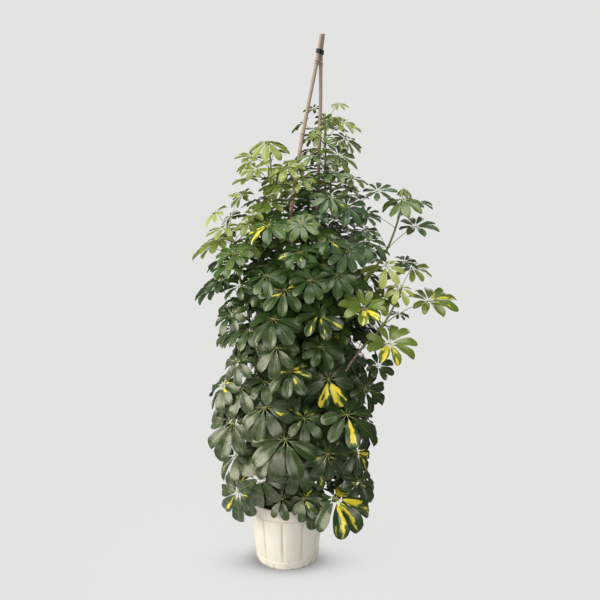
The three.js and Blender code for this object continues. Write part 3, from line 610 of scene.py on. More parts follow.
def cane_rings(path, length, tip_to_joint):
    """The rings of a cane: the point of its path, centre, radius, how much of a joint, and if it lies in the
    hollow of the sawn tip, which gets painted shade.
    """
    joints = [length - tip_to_joint - JOINT_SPACING * n for n in range(8)]
    last = len(path) - 1
    rings = []
    for i, centre in enumerate(path):
        along = length * i / last
        off = min((along - joint for joint in joints), key=abs)
        scar = math.exp(-((off + SHEATH_SCAR[0]) / SHEATH_SCAR[1]) ** 2)
        ridge = math.exp(-(off / JOINT_HALF_WIDTH) ** 2) + 0.7 * scar
        waist = CANE_WAIST * math.cos(2 * math.pi * off / JOINT_SPACING)
        radius = CANE_RADIUS[0] + (CANE_RADIUS[1] - CANE_RADIUS[0]) * along / length
        rings.append((i, centre, radius + waist + JOINT_RISE * ridge, ridge, 0))
    bore = CANE_RADIUS[1] * BORE_SHARE
    into = (path[-2] - path[-1]).normalized()
    rings.append((last, path[-1], bore, 0, 1))
    rings.append((last, path[-1] + into * BORE_DEPTH, bore * 0.9, 0, 1))
    return rings


def make_cane(name, node, points, tip_to_joint):
    """One cane, and its path for the tie."""
    path, length = smooth_path(points, CANE_STEP)
    turns = [2 * math.pi * n / CANE_SIDES for n in range(CANE_SIDES)]
    shell = bmesh.new()
    loops, marks = [], []
    for i, centre, radius, ridge, cut in cane_rings(path, length, tip_to_joint):
        side, across = ring_frame(path, i)
        arms = [radius * (side * math.cos(turn) + across * math.sin(turn)) for turn in turns]
        loops.append([shell.verts.new(centre + arm) for arm in arms])
        marks += [(ridge, cut)] * CANE_SIDES
    for lower, upper in zip(loops, loops[1:]):
        for n in range(CANE_SIDES):
            shell.faces.new([lower[n], lower[n - 1], upper[n - 1], upper[n]])
    shell.faces.new(loops[0])
    shell.faces.new(loops[-1][::-1])
    bmesh.ops.recalc_face_normals(shell, faces=shell.faces)
    mesh = as_mesh(name, shell)
    for label, values in zip(("joint", "cut"), zip(*marks)):
        mark(mesh, label, values)
    shade(mesh, 50)
    cane = add_piece(name, mesh, BAMBOO)
    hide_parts(node)
    return path


left_cane = make_cane("bamboo_left", "cane_left", LEFT_CANE, 0.084)
right_cane = make_cane("bamboo_right", "cane_right", RIGHT_CANE, 0.092)

# ---------------------------------------------------------------- tie
# One length of dark plastic-covered wire, wound four times round both canes near their tips, with its
# ends twisted together at the front.

TIE_HEIGHT = 1.745
TIE_WIRE = 0.0016  # radius of the covered wire
TIE_SLACK = 0.0006  # between the wire and a cane
TIE_TURNS = 4
TIE_STEPS = 28  # in one turn
TIE_PITCH = 0.0036
TIE_LEAN = (0.12, 0, 1)  # the way that the canes go up there
TWIST_STEPS = 21
TWIST_TURN = 9  # radians, from one end of the twist to the other
TWIST_RADIUS = 0.0011
TWIST_HALF_HEIGHT = 0.006
TWIST_GAPS = (0.0012, 0.0032)  # from the coil to its upper and lower end


def covered_wire():
    """Blue-black plastic with a soft shine."""
    finish = Finish("covered_wire")
    scuffs = finish.grain(finish.place(), 400, 3)
    colour = finish.mixed(scuffs.step(0.5, 0.75), (0.010, 0.012, 0.022), (0.05, 0.055, 0.075))
    return finish.close({"Base Color": colour, "Roughness": scuffs * 0.3 + 0.22})


def rod_tree():
    """Round rods along the lines of a mesh, as thick as its radius attribute says."""
    tree = Tree("rods_along_lines", {"Sides": "Int", "Material": "Material"})
    lines = tree.node("GeometryNodeMeshToCurve", {}, {"Mesh": tree.given("Geometry")})
    inputs = {"Resolution": tree.given("Sides"), "Radius": 1.0}
    circle = tree.node("GeometryNodeCurvePrimitiveCircle", {}, inputs)
    inputs = {"Curve": lines, "Profile Curve": circle, "Scale": tree.named("radius"), "Fill Caps": True}
    rods = tree.node("GeometryNodeCurveToMesh", {}, inputs)
    rods = tree.node("GeometryNodeSetShadeSmooth", {}, {"Geometry": rods})
    tree.close(rods)
    return tree


RODS = rod_tree()


def line_mesh(name, lines):
    """Open lines as a mesh of edges. Each point is its place and its named values."""
    places = [place for line in lines for place, _ in line]
    edges, start = [], 0
    for line in lines:
        edges += [(start + i, start + i + 1) for i in range(len(line) - 1)]
        start += len(line)
    mesh = bpy.data.meshes.new(name)
    mesh.from_pydata(places, edges, [])
    values = [value for line in lines for _, value in line]
    for label in values[0]:
        mark(mesh, label, [v[label] for v in values])
    return mesh


def at_height(path, height):
    """The point of a path that is nearest to this height."""
    return min(path, key=lambda point: abs(point.z - height))


def make_tie():
    left, right = at_height(left_cane, TIE_HEIGHT), at_height(right_cane, TIE_HEIGHT)
    middle = (left + right) / 2
    half = (right - left).length / 2
    out = (right - left).normalized()
    up = Vector(TIE_LEAN).normalized()
    front = out.cross(up).normalized()
    reach = CANE_RADIUS[1] + TIE_SLACK + TIE_WIRE
    coil = []
    for i in range(TIE_TURNS * TIE_STEPS + 1):
        turn = 2 * math.pi * i / TIE_STEPS
        centre = middle + out * (half if math.cos(turn) > 0 else -half)
        lift = TIE_PITCH * (i / TIE_STEPS - TIE_TURNS / 2)
        around = reach * (out * math.cos(turn) + front * math.sin(turn))
        coil.append((centre + around + up * lift, {"radius": TIE_WIRE}))
    twist = []
    for i in range(TWIST_STEPS + 1):
        share = i / TWIST_STEPS
        turn = share * TWIST_TURN
        gap = TWIST_GAPS[0] + (TWIST_GAPS[1] - TWIST_GAPS[0]) * share
        bend = front * (reach + gap) + up * TWIST_HALF_HEIGHT * (1 - 2 * share)
        wobble = TWIST_RADIUS * (out * math.cos(turn) + up * math.sin(turn))
        twist.append((middle + bend + wobble, {"radius": TIE_WIRE * 0.8}))
    wire = RODS.run("tie_wire", line_mesh("tie_lines", [coil, twist]), sides=10, material=covered_wire())
    tie = add_piece("tie_wire", wire, None)
    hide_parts("cane_tie")


make_tie()

# ---------------------------------------------------------------- stems and petioles
# Ten stems rise from the soil, corky and grey-brown at the foot and green towards the tip, ringed by
# the scars of dropped leaves. Each leaf hangs on a long petiole that is set on its stem by a swollen foot.

STEM_FOOT = (0.168, 0.188, SOIL_TOP)  # heights of its straight foot in the soil
STEM_STEP = 0.004
STEM_TIP_RADIUS = 0.0028
SCAR_SPACING = 0.021
SCAR_HALF_WIDTH = 0.002
SCAR_RISE = 0.0005
SCARLESS = 0.05  # of a stem's length, at its foot and at its tip
BUD_LENGTH = 0.014  # over which the tip is drawn to a point
PETIOLE_RADII = (0.0016, 0.0011, 0.0014)  # at its foot, along it and under the hub
PETIOLE_STEPS = 8
PETIOLE_ARCH = 0.05  # how far its middle rises, for a length of 1

# In the solids, a leaf's outline has three points for each of its six leaflets.
OUTLINE_POINTS = 18
HUB_DEPTH = 0.0014  # from the top of a leaf's solid to its hub

# By height: how long leaflets and petioles are, and how far the blade's face turns to the sky, in degrees.
LEAF_HEIGHTS = (0.25, 0.5, 0.7, 0.9, 1.1, 1.3, 1.45, 1.6)
LEAFLET_LENGTHS = (0.108, 0.102, 0.092, 0.082, 0.072, 0.062, 0.052, 0.034)
PETIOLE_LENGTHS = (0.130, 0.135, 0.130, 0.120, 0.105, 0.085, 0.065, 0.034)
LEAF_TILTS = (22, 30, 40, 56, 70, 74, 72, 68)

# By height: the middle of the crown, and its half widths from side to side and from front to back.
CROWN_HEIGHTS = (0.23, 0.30, 0.47, 0.70, 0.85, 0.95, 1.10, 1.20, 1.31, 1.40, 1.50, 1.60)
CROWN_ROWS = (
    (0.035, 0.035, 0.028, 0.066, 0.104, 0.112, 0.062, 0.050, 0.080, 0.100, 0.118, 0.130),
    (0.240, 0.285, 0.320, 0.268, 0.286, 0.322, 0.320, 0.283, 0.230, 0.150, 0.105, 0.070),
    (0.205, 0.245, 0.265, 0.255, 0.265, 0.270, 0.265, 0.245, 0.200, 0.150, 0.105, 0.070),
)
INNER_LEAVES = {"stem_leader": 64, "stem_left_crown": 34, "stem_left_middle": 22, "stem_right_crown": 8,
                "stem_right_branch": 4, "stem_front": 42, "stem_left_low": 22, "stem_right_low": 28,
                "stem_back": 24, "stem_back_left": 20}
INNER_BOTTOM = 0.33  # no hub of theirs is lower above the pot, so that none dips into it
INNER_OUTSIDE = (0.28, 0.19)  # but one may be as low as this where it is so far from the pot's axis
INNER_SHARES = (0.16, 0.96)  # the part of a stem that they grow from
INNER_TURN = 2.4  # radians, from one try to the next: the golden angle
INNER_TRIES = 12
INNER_SPACING = 0.45  # of a leaflet's length, from hub to hub
INNER_REACH = 0.93  # of the crown's half width, less a leaflet, that their hubs keep within

# By height: how strongly the inner leaves turn to the light, which comes from the front.
LIGHT_HEIGHTS = (0.25, 0.8, 1.0, 1.5)
LIGHT_PULLS = (0.1, 0.3, 0.8, 0.9)
LIGHT_FROM = (-0.2, -1, 0)

# Each stem: its path above the soil, its radius at the foot, the share of it that is bark, how young its
# tip is, and how strong a painted grey-teal sheen its leaves get.
STEMS = {
    "stem_leader": (
        [(0.068, 0.066, 0.215), (0.100, 0.050, 0.600), (0.124, 0.042, 1.000), (0.131, 0.034, 1.350),
         (0.128, 0.026, 1.560)], 0.008, 0.45, 0.62, 0.6),
    "stem_left_crown": (
        [(-0.020, 0.055, 0.215), (-0.018, 0.048, 0.600), (-0.020, 0.028, 1.000), (-0.026, 0.006, 1.210),
         (-0.047, 0, 1.350), (-0.052, -0.002, 1.425)], 0.0075, 0.45, 0.68, 0.0),
    "stem_left_middle": (
        [(-0.052, 0.012, 0.215), (-0.078, 0.008, 0.500), (-0.122, -0.010, 0.850), (-0.168, -0.022, 1.080),
         (-0.196, -0.026, 1.200)], 0.007, 0.45, 0.75, 0.1),
    "stem_right_crown": (
        [(0.044, -0.012, 0.215), (0.088, -0.014, 0.500), (0.165, -0.008, 0.800), (0.262, -0.002, 0.990),
         (0.342, 0, 1.120), (0.380, 0, 1.240), (0.385, 0, 1.284)], 0.0075, 0.45, 0.35, 0.6),
    "stem_right_branch": (
        [(0.078, -0.046, 0.215), (0.120, -0.100, 0.480), (0.160, -0.145, 0.640), (0.194, -0.168, 0.739),
         (0.248, -0.160, 0.815), (0.304, -0.140, 0.868), (0.368, -0.100, 0.970), (0.380, -0.088, 1.000)],
        0.007, 0.74, 0.9, 0.0),
    "stem_front": (
        [(0.018, -0.076, 0.215), (0.034, -0.096, 0.500), (0.060, -0.104, 0.800), (0.072, -0.106, 1.000),
         (0.064, -0.100, 1.160)], 0.007, 0.45, 0.25, 0.05),
    "stem_left_low": (
        [(-0.044, -0.078, 0.215), (-0.088, -0.088, 0.450), (-0.104, -0.078, 0.680), (-0.096, -0.072, 0.840)],
        0.007, 0.45, 0.1, 0.2),
    "stem_right_low": (
        [(0.106, -0.010, 0.215), (0.142, 0.006, 0.400), (0.166, 0.016, 0.600), (0.182, 0.024, 0.780),
         (0.188, 0.030, 0.900)], 0.0065, 0.45, 0.1, 0.05),
    "stem_back": (
        [(0.014, 0.098, 0.215), (0.024, 0.124, 0.600), (0.062, 0.116, 0.900), (0.112, 0.098, 1.150),
         (0.136, 0.088, 1.300)], 0.0075, 0.45, 0.4, 0.3),
    "stem_back_left": (
        [(-0.062, 0.074, 0.215), (-0.072, 0.108, 0.480), (-0.066, 0.120, 0.760), (-0.040, 0.116, 1.000),
         (-0.026, 0.104, 1.180)], 0.007, 0.45, 0.4, 0.2),
}


def bark():
    """Corky grey-brown below and smooth green above, with paler dots and dark scars."""
    finish = Finish("bark")
    place = finish.place()
    woody = finish.attribute("woody")
    cork = finish.grain(finish.stretched(place, (220, 220, 60)), 1, 5, 0.65)
    dots = finish.grain(finish.stretched(place, (420, 420, 260)), 1, 1)
    scar = finish.attribute("scar")
    patches = finish.grain(place, 40, 3)
    green = finish.mixed(patches.step(0.35, 0.7), (0.060, 0.115, 0.022), (0.12, 0.19, 0.04))
    green = finish.mixed(finish.attribute("youth"), green, (0.22, 0.29, 0.05))
    brown = finish.mixed(cork.step(0.35, 0.65), (0.105, 0.078, 0.050), (0.27, 0.21, 0.14))
    colour = finish.mixed((woody + (cork - 0.5) * 0.5).step(0.35, 0.65), green, brown)
    colour = finish.mixed(dots.step(0.68, 0.76) * 0.5, colour, (0.30, 0.26, 0.18))
    colour = finish.mixed(scar * 0.6, colour, (0.05, 0.036, 0.024))
    relief = finish.bump(cork * woody, 0.0012, 0.7)
    return finish.close({"Base Color": colour, "Roughness": woody * 0.3 + 0.45, "Normal": relief})


def green_stalk():
    """Smooth petioles, green with a yellower foot."""
    finish = Finish("green_stalk")
    place = finish.place()
    patches = finish.grain(place, 30, 2)
    colour = finish.mixed(patches.step(0.3, 0.7), (0.055, 0.12, 0.022), (0.11, 0.19, 0.035))
    colour = finish.mixed(finish.attribute("youth"), colour, (0.30, 0.38, 0.07))
    colour = finish.mixed(finish.attribute("foot") * 0.6, colour, (0.22, 0.23, 0.06))
    return finish.close({"Base Color": colour, "Roughness": 0.45})


class Leaf:
    """Where one leaf sits, which way it faces and how far its leaflets reach and droop."""

    TIPS = np.radians((-145, -87, -29, 29, 87, 145))  # from its lead, where its reach is known

    def __init__(self, hub, axis, lead, spreads, drops, stalk=None):
        self.hub = hub
        self.axis = axis
        self.lead = lead
        self.side = axis.cross(lead)
        self.spreads = spreads
        self.drops = drops
        self.length = max(math.hypot(spread, drop) for spread, drop in zip(spreads, drops))
        self.stalk = stalk  # the way that its petiole leaves the hub, where the solid says it

    def grow_from(self, path, at):
        """Sets its root, a point of its stem's path, and how far up the stem that is."""
        self.root = path[at]
        self.share = at / (len(path) - 1)

    def tip_at(self, angle):
        """Where a leaflet at this angle from the lead ends, from the hub."""
        places = [self.TIPS[-1] - 2 * math.pi, *self.TIPS, self.TIPS[0] + 2 * math.pi]
        spread = np.interp(angle, places, [self.spreads[-1], *self.spreads, self.spreads[0]])
        drop = np.interp(angle, places, [self.drops[-1], *self.drops, self.drops[0]])
        flat = self.lead * math.cos(angle) + self.side * math.sin(angle)
        return flat * float(spread) - self.axis * float(drop)


def outline_round(top):
    """The outline of a leaf's solid, in order round its top, from one of its gaps between leaflets."""
    following = {}
    for face in top.link_faces:
        corners = list(face.verts)
        at = corners.index(top)
        following[corners[(at + 1) % 3]] = corners[(at + 2) % 3]
    ring = [next(iter(following))]
    while len(ring) < len(following):
        ring.append(following[ring[-1]])
    first = min(range(3), key=lambda i: (ring[i].co - top.co).length)
    return ring[first:] + ring[:first]


def collar_under(top, ring):
    """The three points of a leaf's solid where its petiole meets its blade."""
    counts = {}
    for vert in ring:
        for edge in vert.link_edges:
            other = edge.other_vert(vert)
            if other is not top and other not in ring:
                counts[other] = counts.get(other, 0) + 1
    return sorted(counts, key=counts.get)[-3:]


def stalk_below(top, ring, collar):
    """The direction of the petiole of a leaf's solid, from the hub down."""
    known = {top, *ring, *collar}
    arms = [edge.other_vert(vert).co - vert.co for vert in collar for edge in vert.link_edges
            if edge.other_vert(vert) not in known]
    return sum((arm.normalized() for arm in arms), Vector()).normalized()


def read_leaf(top):
    """One leaf of a stem's solid, read back from the point on top of its hub."""
    ring = outline_round(top)
    collar = collar_under(top, ring)
    seat = sum((vert.co for vert in collar), Vector()) / 3
    axis = (top.co - seat).normalized()
    hub = top.co - axis * HUB_DEPTH

    def across(vert):
        arm = vert.co - hub
        return arm - axis * arm.dot(axis)

    gaps = [across(vert) for vert in ring[0::3]]
    widest = max(range(6), key=lambda i: gaps[i - 1].angle(gaps[i]))
    ring = ring[3 * widest:] + ring[:3 * widest]
    tips = [(ring[i + 1].co + ring[i + 2].co) / 2 - hub for i in range(0, OUTLINE_POINTS, 3)]
    drops = [-tip.dot(axis) for tip in tips]
    spreads = [(tip + axis * drop).length for tip, drop in zip(tips, drops)]
    lead = across(ring[OUTLINE_POINTS // 2]).normalized()
    return Leaf(hub, axis, lead, spreads, drops, stalk_below(top, ring, collar))


def leaves_of(node):
    """Every leaf of a stem's solid. A leaf is known by its top, where its whole outline meets."""
    shell = bmesh.new()
    shell.from_mesh(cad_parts[node].data)
    bmesh.ops.remove_doubles(shell, verts=shell.verts, dist=1e-6)
    leaves = [read_leaf(vert) for vert in shell.verts if len(vert.link_edges) == OUTLINE_POINTS]
    shell.free()
    return sorted(leaves, key=lambda leaf: leaf.hub.z)


def root_on(path, leaf):
    """The number of the path's point that the petiole's line passes closest to."""

    def miss(i):
        arm = path[i] - leaf.hub
        below = arm.dot(leaf.stalk)
        return (arm - leaf.stalk * below).length if below > 0 else math.inf

    return min(range(len(path)), key=miss)


def by_height(height, values):
    """One of the rows of LEAF_HEIGHTS, read at this height."""
    return float(np.interp(height, LEAF_HEIGHTS, values))


def crown_at(height):
    """The middle of the crown at this height, and its two half widths."""
    return [float(np.interp(height, CROWN_HEIGHTS, row)) for row in CROWN_ROWS]


def is_free(hub, size, taken):
    """Whether a hub may be here: inside the crown, above the pot and apart from the other hubs."""
    middle, wide, deep = crown_at(hub.z)
    depth = math.hypot((hub.x - middle) / (wide - size), hub.y / (deep - size))
    lowest, away = INNER_OUTSIDE
    above_pot = hub.z > INNER_BOTTOM or (hub.z > lowest and hub.xy.length > away)
    apart = all((hub - other).length > size * INNER_SPACING for other in taken)
    return above_pot and depth < INNER_REACH and apart


def facing(hub, out, draw):
    """The way that an inner leaf faces: outward, to the light unless it is at the back, and up."""
    middle = crown_at(hub.z)[0]
    outward = Vector((hub.x - middle, hub.y, 0)).normalized() + Vector((out.x, out.y, 0)) * 0.6
    if outward.y < 0.3:
        outward += Vector(LIGHT_FROM) * float(np.interp(hub.z, LIGHT_HEIGHTS, LIGHT_PULLS))
    tilt = math.radians(by_height(hub.z, LEAF_TILTS) + draw.uniform(-22, 22))
    return (outward.normalized() * math.cos(tilt) + Vector((0, 0, math.sin(tilt)))).normalized()


def inner_leaves(path, known, amount, draw):
    """More leaves of the same kind inside the crown, between those that the solid has room for."""
    leaves = []
    taken = [leaf.hub for leaf in known]
    turn = draw.uniform(0, 6.28)
    lowest, highest = INNER_SHARES
    for i in range(amount):
        share = lowest + (highest - lowest) * ((i + 0.5) / amount) ** 0.8
        at = round(share * (len(path) - 1))
        root = path[at]
        size = by_height(root.z, LEAFLET_LENGTHS)
        for _ in range(INNER_TRIES):
            turn += INNER_TURN
            rise = draw.uniform(0.3, 1.0)
            out = Vector((math.cos(turn) * math.cos(rise), math.sin(turn) * math.cos(rise), math.sin(rise)))
            hub = root + out * by_height(root.z, PETIOLE_LENGTHS) * draw.uniform(0.7, 1.2)
            if is_free(hub, size, taken):
                break
        else:
            continue
        axis = facing(hub, out, draw)
        lead = out - Vector((0, 0, 0.8))
        lead = (lead - axis * lead.dot(axis)).normalized()
        droop = math.radians(draw.uniform(0, 22))
        reach = [size * (0.86 + 0.14 * math.cos(angle)) * draw.uniform(0.85, 1.05) for angle in Leaf.TIPS]
        spreads = [r * math.cos(droop) for r in reach]
        drops = [r * math.sin(droop) for r in reach]
        leaf = Leaf(hub, axis, lead, spreads, drops)
        leaf.grow_from(path, at)
        leaves.append(leaf)
        taken.append(hub)
    return leaves


def make_stem(name, points, foot_radius, bark_share, tip_youth, draw):
    """The rod of one stem, and its path for the leaves."""
    x, y, _ = points[0]
    path, length = smooth_path([*((x, y, height) for height in STEM_FOOT), *points], STEM_STEP)
    scars = [length - SCARLESS]
    while scars[-1] > SCARLESS:
        scars.append(scars[-1] - SCAR_SPACING * draw.uniform(0.6, 1.5))
    stem = []
    for i, place in enumerate(path):
        share = i / (len(path) - 1)
        along = share * length
        radius = foot_radius + (STEM_TIP_RADIUS - foot_radius) * share
        scar = math.exp(-(min(abs(along - s) for s in scars) / SCAR_HALF_WIDTH) ** 2)
        bud = min(1, (length - along) / BUD_LENGTH + 0.25)
        values = {
            "radius": (radius + SCAR_RISE * scar) * bud,
            "woody": 1 - ramp(share, bark_share - 0.12, bark_share + 0.12),
            "scar": scar * min(1, (1 - share) * 3),
            "youth": tip_youth * ramp(share, 0.6, 1),
        }
        stem.append((place, values))
    rod = RODS.run(name + "_rod", line_mesh(name + "_line", [stem]), sides=12, material=BARK)
    rod = add_piece(name + "_rod", rod, None)
    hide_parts(name)
    return path


def petiole_line(leaf, tip_youth):
    """The line of a petiole, arched a little, with a swollen foot and a small knob under its hub."""
    reach = leaf.hub - leaf.root
    rise = Vector((0, 0, PETIOLE_ARCH * reach.length)) - Vector((reach.x, reach.y, 0)) * 0.03
    foot, middle, top = PETIOLE_RADII
    size = 0.7 + 0.3 * ramp(leaf.length, 0, 0.09)
    youth = tip_youth * ramp(leaf.share, 0.7, 1)
    line = []
    for i in range(PETIOLE_STEPS + 1):
        share = i / PETIOLE_STEPS
        place = leaf.root + reach * share + rise * 4 * share * (1 - share)
        swell = 1 - ramp(share, 0, 1 / 6)
        knob = ramp(share, 7 / 8, 1)
        radius = middle + (foot - middle) * swell + (top - middle) * knob
        line.append((place, {"radius": radius * size, "foot": swell, "youth": youth}))
    return line


def make_petioles(name, leaves, tip_youth):
    lines = [petiole_line(leaf, tip_youth) for leaf in leaves]
    rods = RODS.run(name + "_petioles", line_mesh(name + "_lines", lines), sides=7, material=GREEN_STALK)
    add_piece(name + "_petioles", rods, None)


BARK = bark()
GREEN_STALK = green_stalk()
plant = {}
for number, (name, (points, foot_radius, bark_share, tip_youth, _)) in enumerate(STEMS.items()):
    path = make_stem(name, points, foot_radius, bark_share, tip_youth, random.Random(number))
    leaves = leaves_of(name)
    for leaf in leaves:
        leaf.grow_from(path, root_on(path, leaf))
    leaves += inner_leaves(path, leaves, INNER_LEAVES[name], random.Random(50 + number))
    make_petioles(name, leaves, tip_youth)
    plant[name] = leaves

# ---------------------------------------------------------------- leaves
# Seven to nine glossy, leathery leaflets spread from each hub like the ribs of an umbrella, each on a
# pale stalklet of its own. Old leaves are dark and dusty, with a painted sheen on the lower ones, most
# at the left, and many carry clear yellow splashes.

STATIONS = [0, 0.08, 0.14, 0.20, 0.31, 0.46, 0.63, 0.79, 0.91, 0.97]
HALF_WIDTHS = [0.045, 0.032, 0.04, 0.24, 0.53, 0.80, 0.97, 0.96, 0.72, 0.40]
LEAFLET_WIDTH = 0.43  # of its length, stalklet included
YOUNG_WIDTH = 0.33  # of a young or high one
BLADE_THICKNESS = 0.016  # of its width
BLADE_DOME = 0.09  # how high it is along the middle, for a width of 1
MIDRIB_CREASE = 0.03
STALKLET_THICKNESS = 0.04
STALKLET_END = 0.14  # of the leaflet's length
LARGE_LEAF = 0.07  # the length of leaflets from which a leaf has the larger number of them
LARGE_COUNTS = (8, 9, 9)
SMALL_COUNTS = (7, 7, 8)
FAN = 344  # degrees that the leaflets of a leaf fill
USUAL_SPLASHES = (0, 0, 0, 0, 0, 0.15, 0.3, 0.45)  # how much of a blade may be yellow, leaf by leaf
HIGH_LEAVES = (0.95, 1.35)  # the heights between which leaves get younger and narrower
HIGH_YOUTH = 0.34
TIP_FROM = 0.72  # of a stem, from which its leaves get as young as its tip
PAINTED_SHADE_BELOW = 0.4  # the height below which leaves are darker: painted shade under the crown
DUST_AND_SHEEN_HEIGHTS = (0.74, 0.94)  # between these it thins out; the left side, where the key lamp stands, holds more of it as a painted sheen
DUST_AND_SHEEN_LEFT = 0.27
DUST_AND_SHEEN_RIGHT = 0.03
VEIN_PAIRS = 15
VEIN_SLANT = 3.4  # how many pairs a vein passes on its way to the edge

MARKED_DEPTH = 0.03  # the leaves of the next two lists stand in front of this, and their hubs are
MARKED_WITHIN = 0.02  # no further than this from the place that is given

# Leaves with bold yellow, seen from the front: x and z of the hub, how much of each blade is yellow,
# and the heading of the leaflets that have it, in degrees anticlockwise from the right.
SPLASHED = [
    (0.245, 0.950, 1.0, -85, 78), (0.105, 0.930, 0.7, -70, 60), (0.135, 0.722, 0.95, -88, 56),
    (0.196, 0.604, 0.8, -95, 30), (0.162, 0.319, 0.85, -40, 65), (0.326, 0.836, 1.0, -105, 48),
    (-0.052, 1.205, 0.75, -123, 30), (0.263, 0.657, 0.5, -60, 25), (0.165, 0.850, 0.6, -90, 80),
    (0.245, 0.348, 0.4, 0, 180), (0.232, 0.446, 0.7, -35, 45), (0.136, 0.474, 0.45, -70, 90),
    (0.140, 1.292, 0.5, -90, 60), (0.002, 1.382, 0.4, -60, 90), (0.474, 0.944, 0.6, 20, 50),
]

# Leaves that are paler or fresher than their neighbours: x and z of the hub, and how young they look.
YOUNG = [
    (0.322, 1.072, 0.95), (0.365, 1.003, 0.95), (0.420, 1.052, 0.8), (0.474, 0.944, 0.6),
    (0.372, 0.905, 0.3), (0.245, 0.950, 0.62), (0.326, 0.836, 0.62), (-0.060, 1.466, 0.75),
    (-0.106, 1.416, 0.7), (0.392, 1.315, 0.9), (-0.052, 1.205, 0.28),
]


def leaflet_blank():
    """One leaflet a metre long: a flat stalklet that widens into a blunt blade, creased along its midrib."""
    shell = bmesh.new()
    marks = []  # of each corner: how far along and across it is, and how far from the midrib

    def corner(along, across, half, height):
        marks.append((along, across, abs(across) * half))
        return shell.verts.new((along, across * half / 2, height))

    rows = []
    for along, half in zip(STATIONS, HALF_WIDTHS):
        thick = STALKLET_THICKNESS if along < STALKLET_END else BLADE_THICKNESS
        top = []
        for across in (-1, -0.5, 0, 0.5, 1):
            swell = BLADE_DOME * half * (1 - across * across) - (MIDRIB_CREASE * half if across == 0 else 0)
            lift = thick / 2 if abs(across) < 1 else 0
            top.append(corner(along, across, half, swell + lift))
        rows.append((top, corner(along, 0, half, -thick / 2)))
    tip = corner(1, 0, 0, 0)
    rows.append(([tip] * 5, tip))
    under = []
    for (top, keel), (top_on, keel_on) in zip(rows, rows[1:]):
        for i in range(4):
            add_face(shell, [top[i + 1], top[i], top_on[i], top_on[i + 1]])
        under.append(add_face(shell, [top[0], keel, keel_on, top_on[0]]))
        under.append(add_face(shell, [keel, top[4], top_on[4], keel_on]))
    top, keel = rows[0]
    shell.faces.new([*top, keel])
    bmesh.ops.recalc_face_normals(shell, faces=shell.faces)
    shell.faces.index_update()
    below = {face.index for face in under}
    mesh = as_mesh("leaflet_blank", shell)
    for label, values in zip(("along", "across", "off_midrib"), zip(*marks)):
        mark(mesh, label, values)
    mark(mesh, "underside", [float(i in below) for i in range(len(mesh.polygons))], "FACE")
    shade(mesh, 75)
    return bpy.data.objects.new("leaflet_blank", mesh)


def leaf_tree():
    """Leaflets set out from points. Each point says where its leaflet ends, how it faces and its form."""
    tree = Tree("leaflets_from_hubs", {"Leaflet": "Object", "Material": "Material"})
    reach, face = tree.named("reach", "FLOAT_VECTOR"), tree.named("face", "FLOAT_VECTOR")
    length, width = tree.named("length"), tree.named("width")
    turn = tree.node("FunctionNodeAxesToRotation", {"primary_axis": "X", "secondary_axis": "Z"},
                     {"Primary Axis": reach, "Secondary Axis": face})
    size = tree.node("ShaderNodeCombineXYZ", {}, {"X": length, "Y": width, "Z": width})
    leaflets = tree.set_out(tree.given("Geometry"), "Leaflet", turn, size)
    leaflets = tree.node("GeometryNodeRealizeInstances", {}, {"Geometry": leaflets})
    along, across = tree.named("along"), tree.named("across")
    arch = tree.named("arch") * 4 * along * (1 - along) * length
    fold = tree.named("fold") * tree.named("off_midrib") * width
    ripple = (along * 14 + tree.named("seed") * 40).sine() * across * across * width * 0.05
    lift = tree.node("ShaderNodeVectorMath", {"operation": "SCALE"}, {0: face, "Scale": arch + fold + ripple})
    tree.close(tree.node("GeometryNodeSetPosition", {}, {"Geometry": leaflets, "Offset": lift}))
    return tree


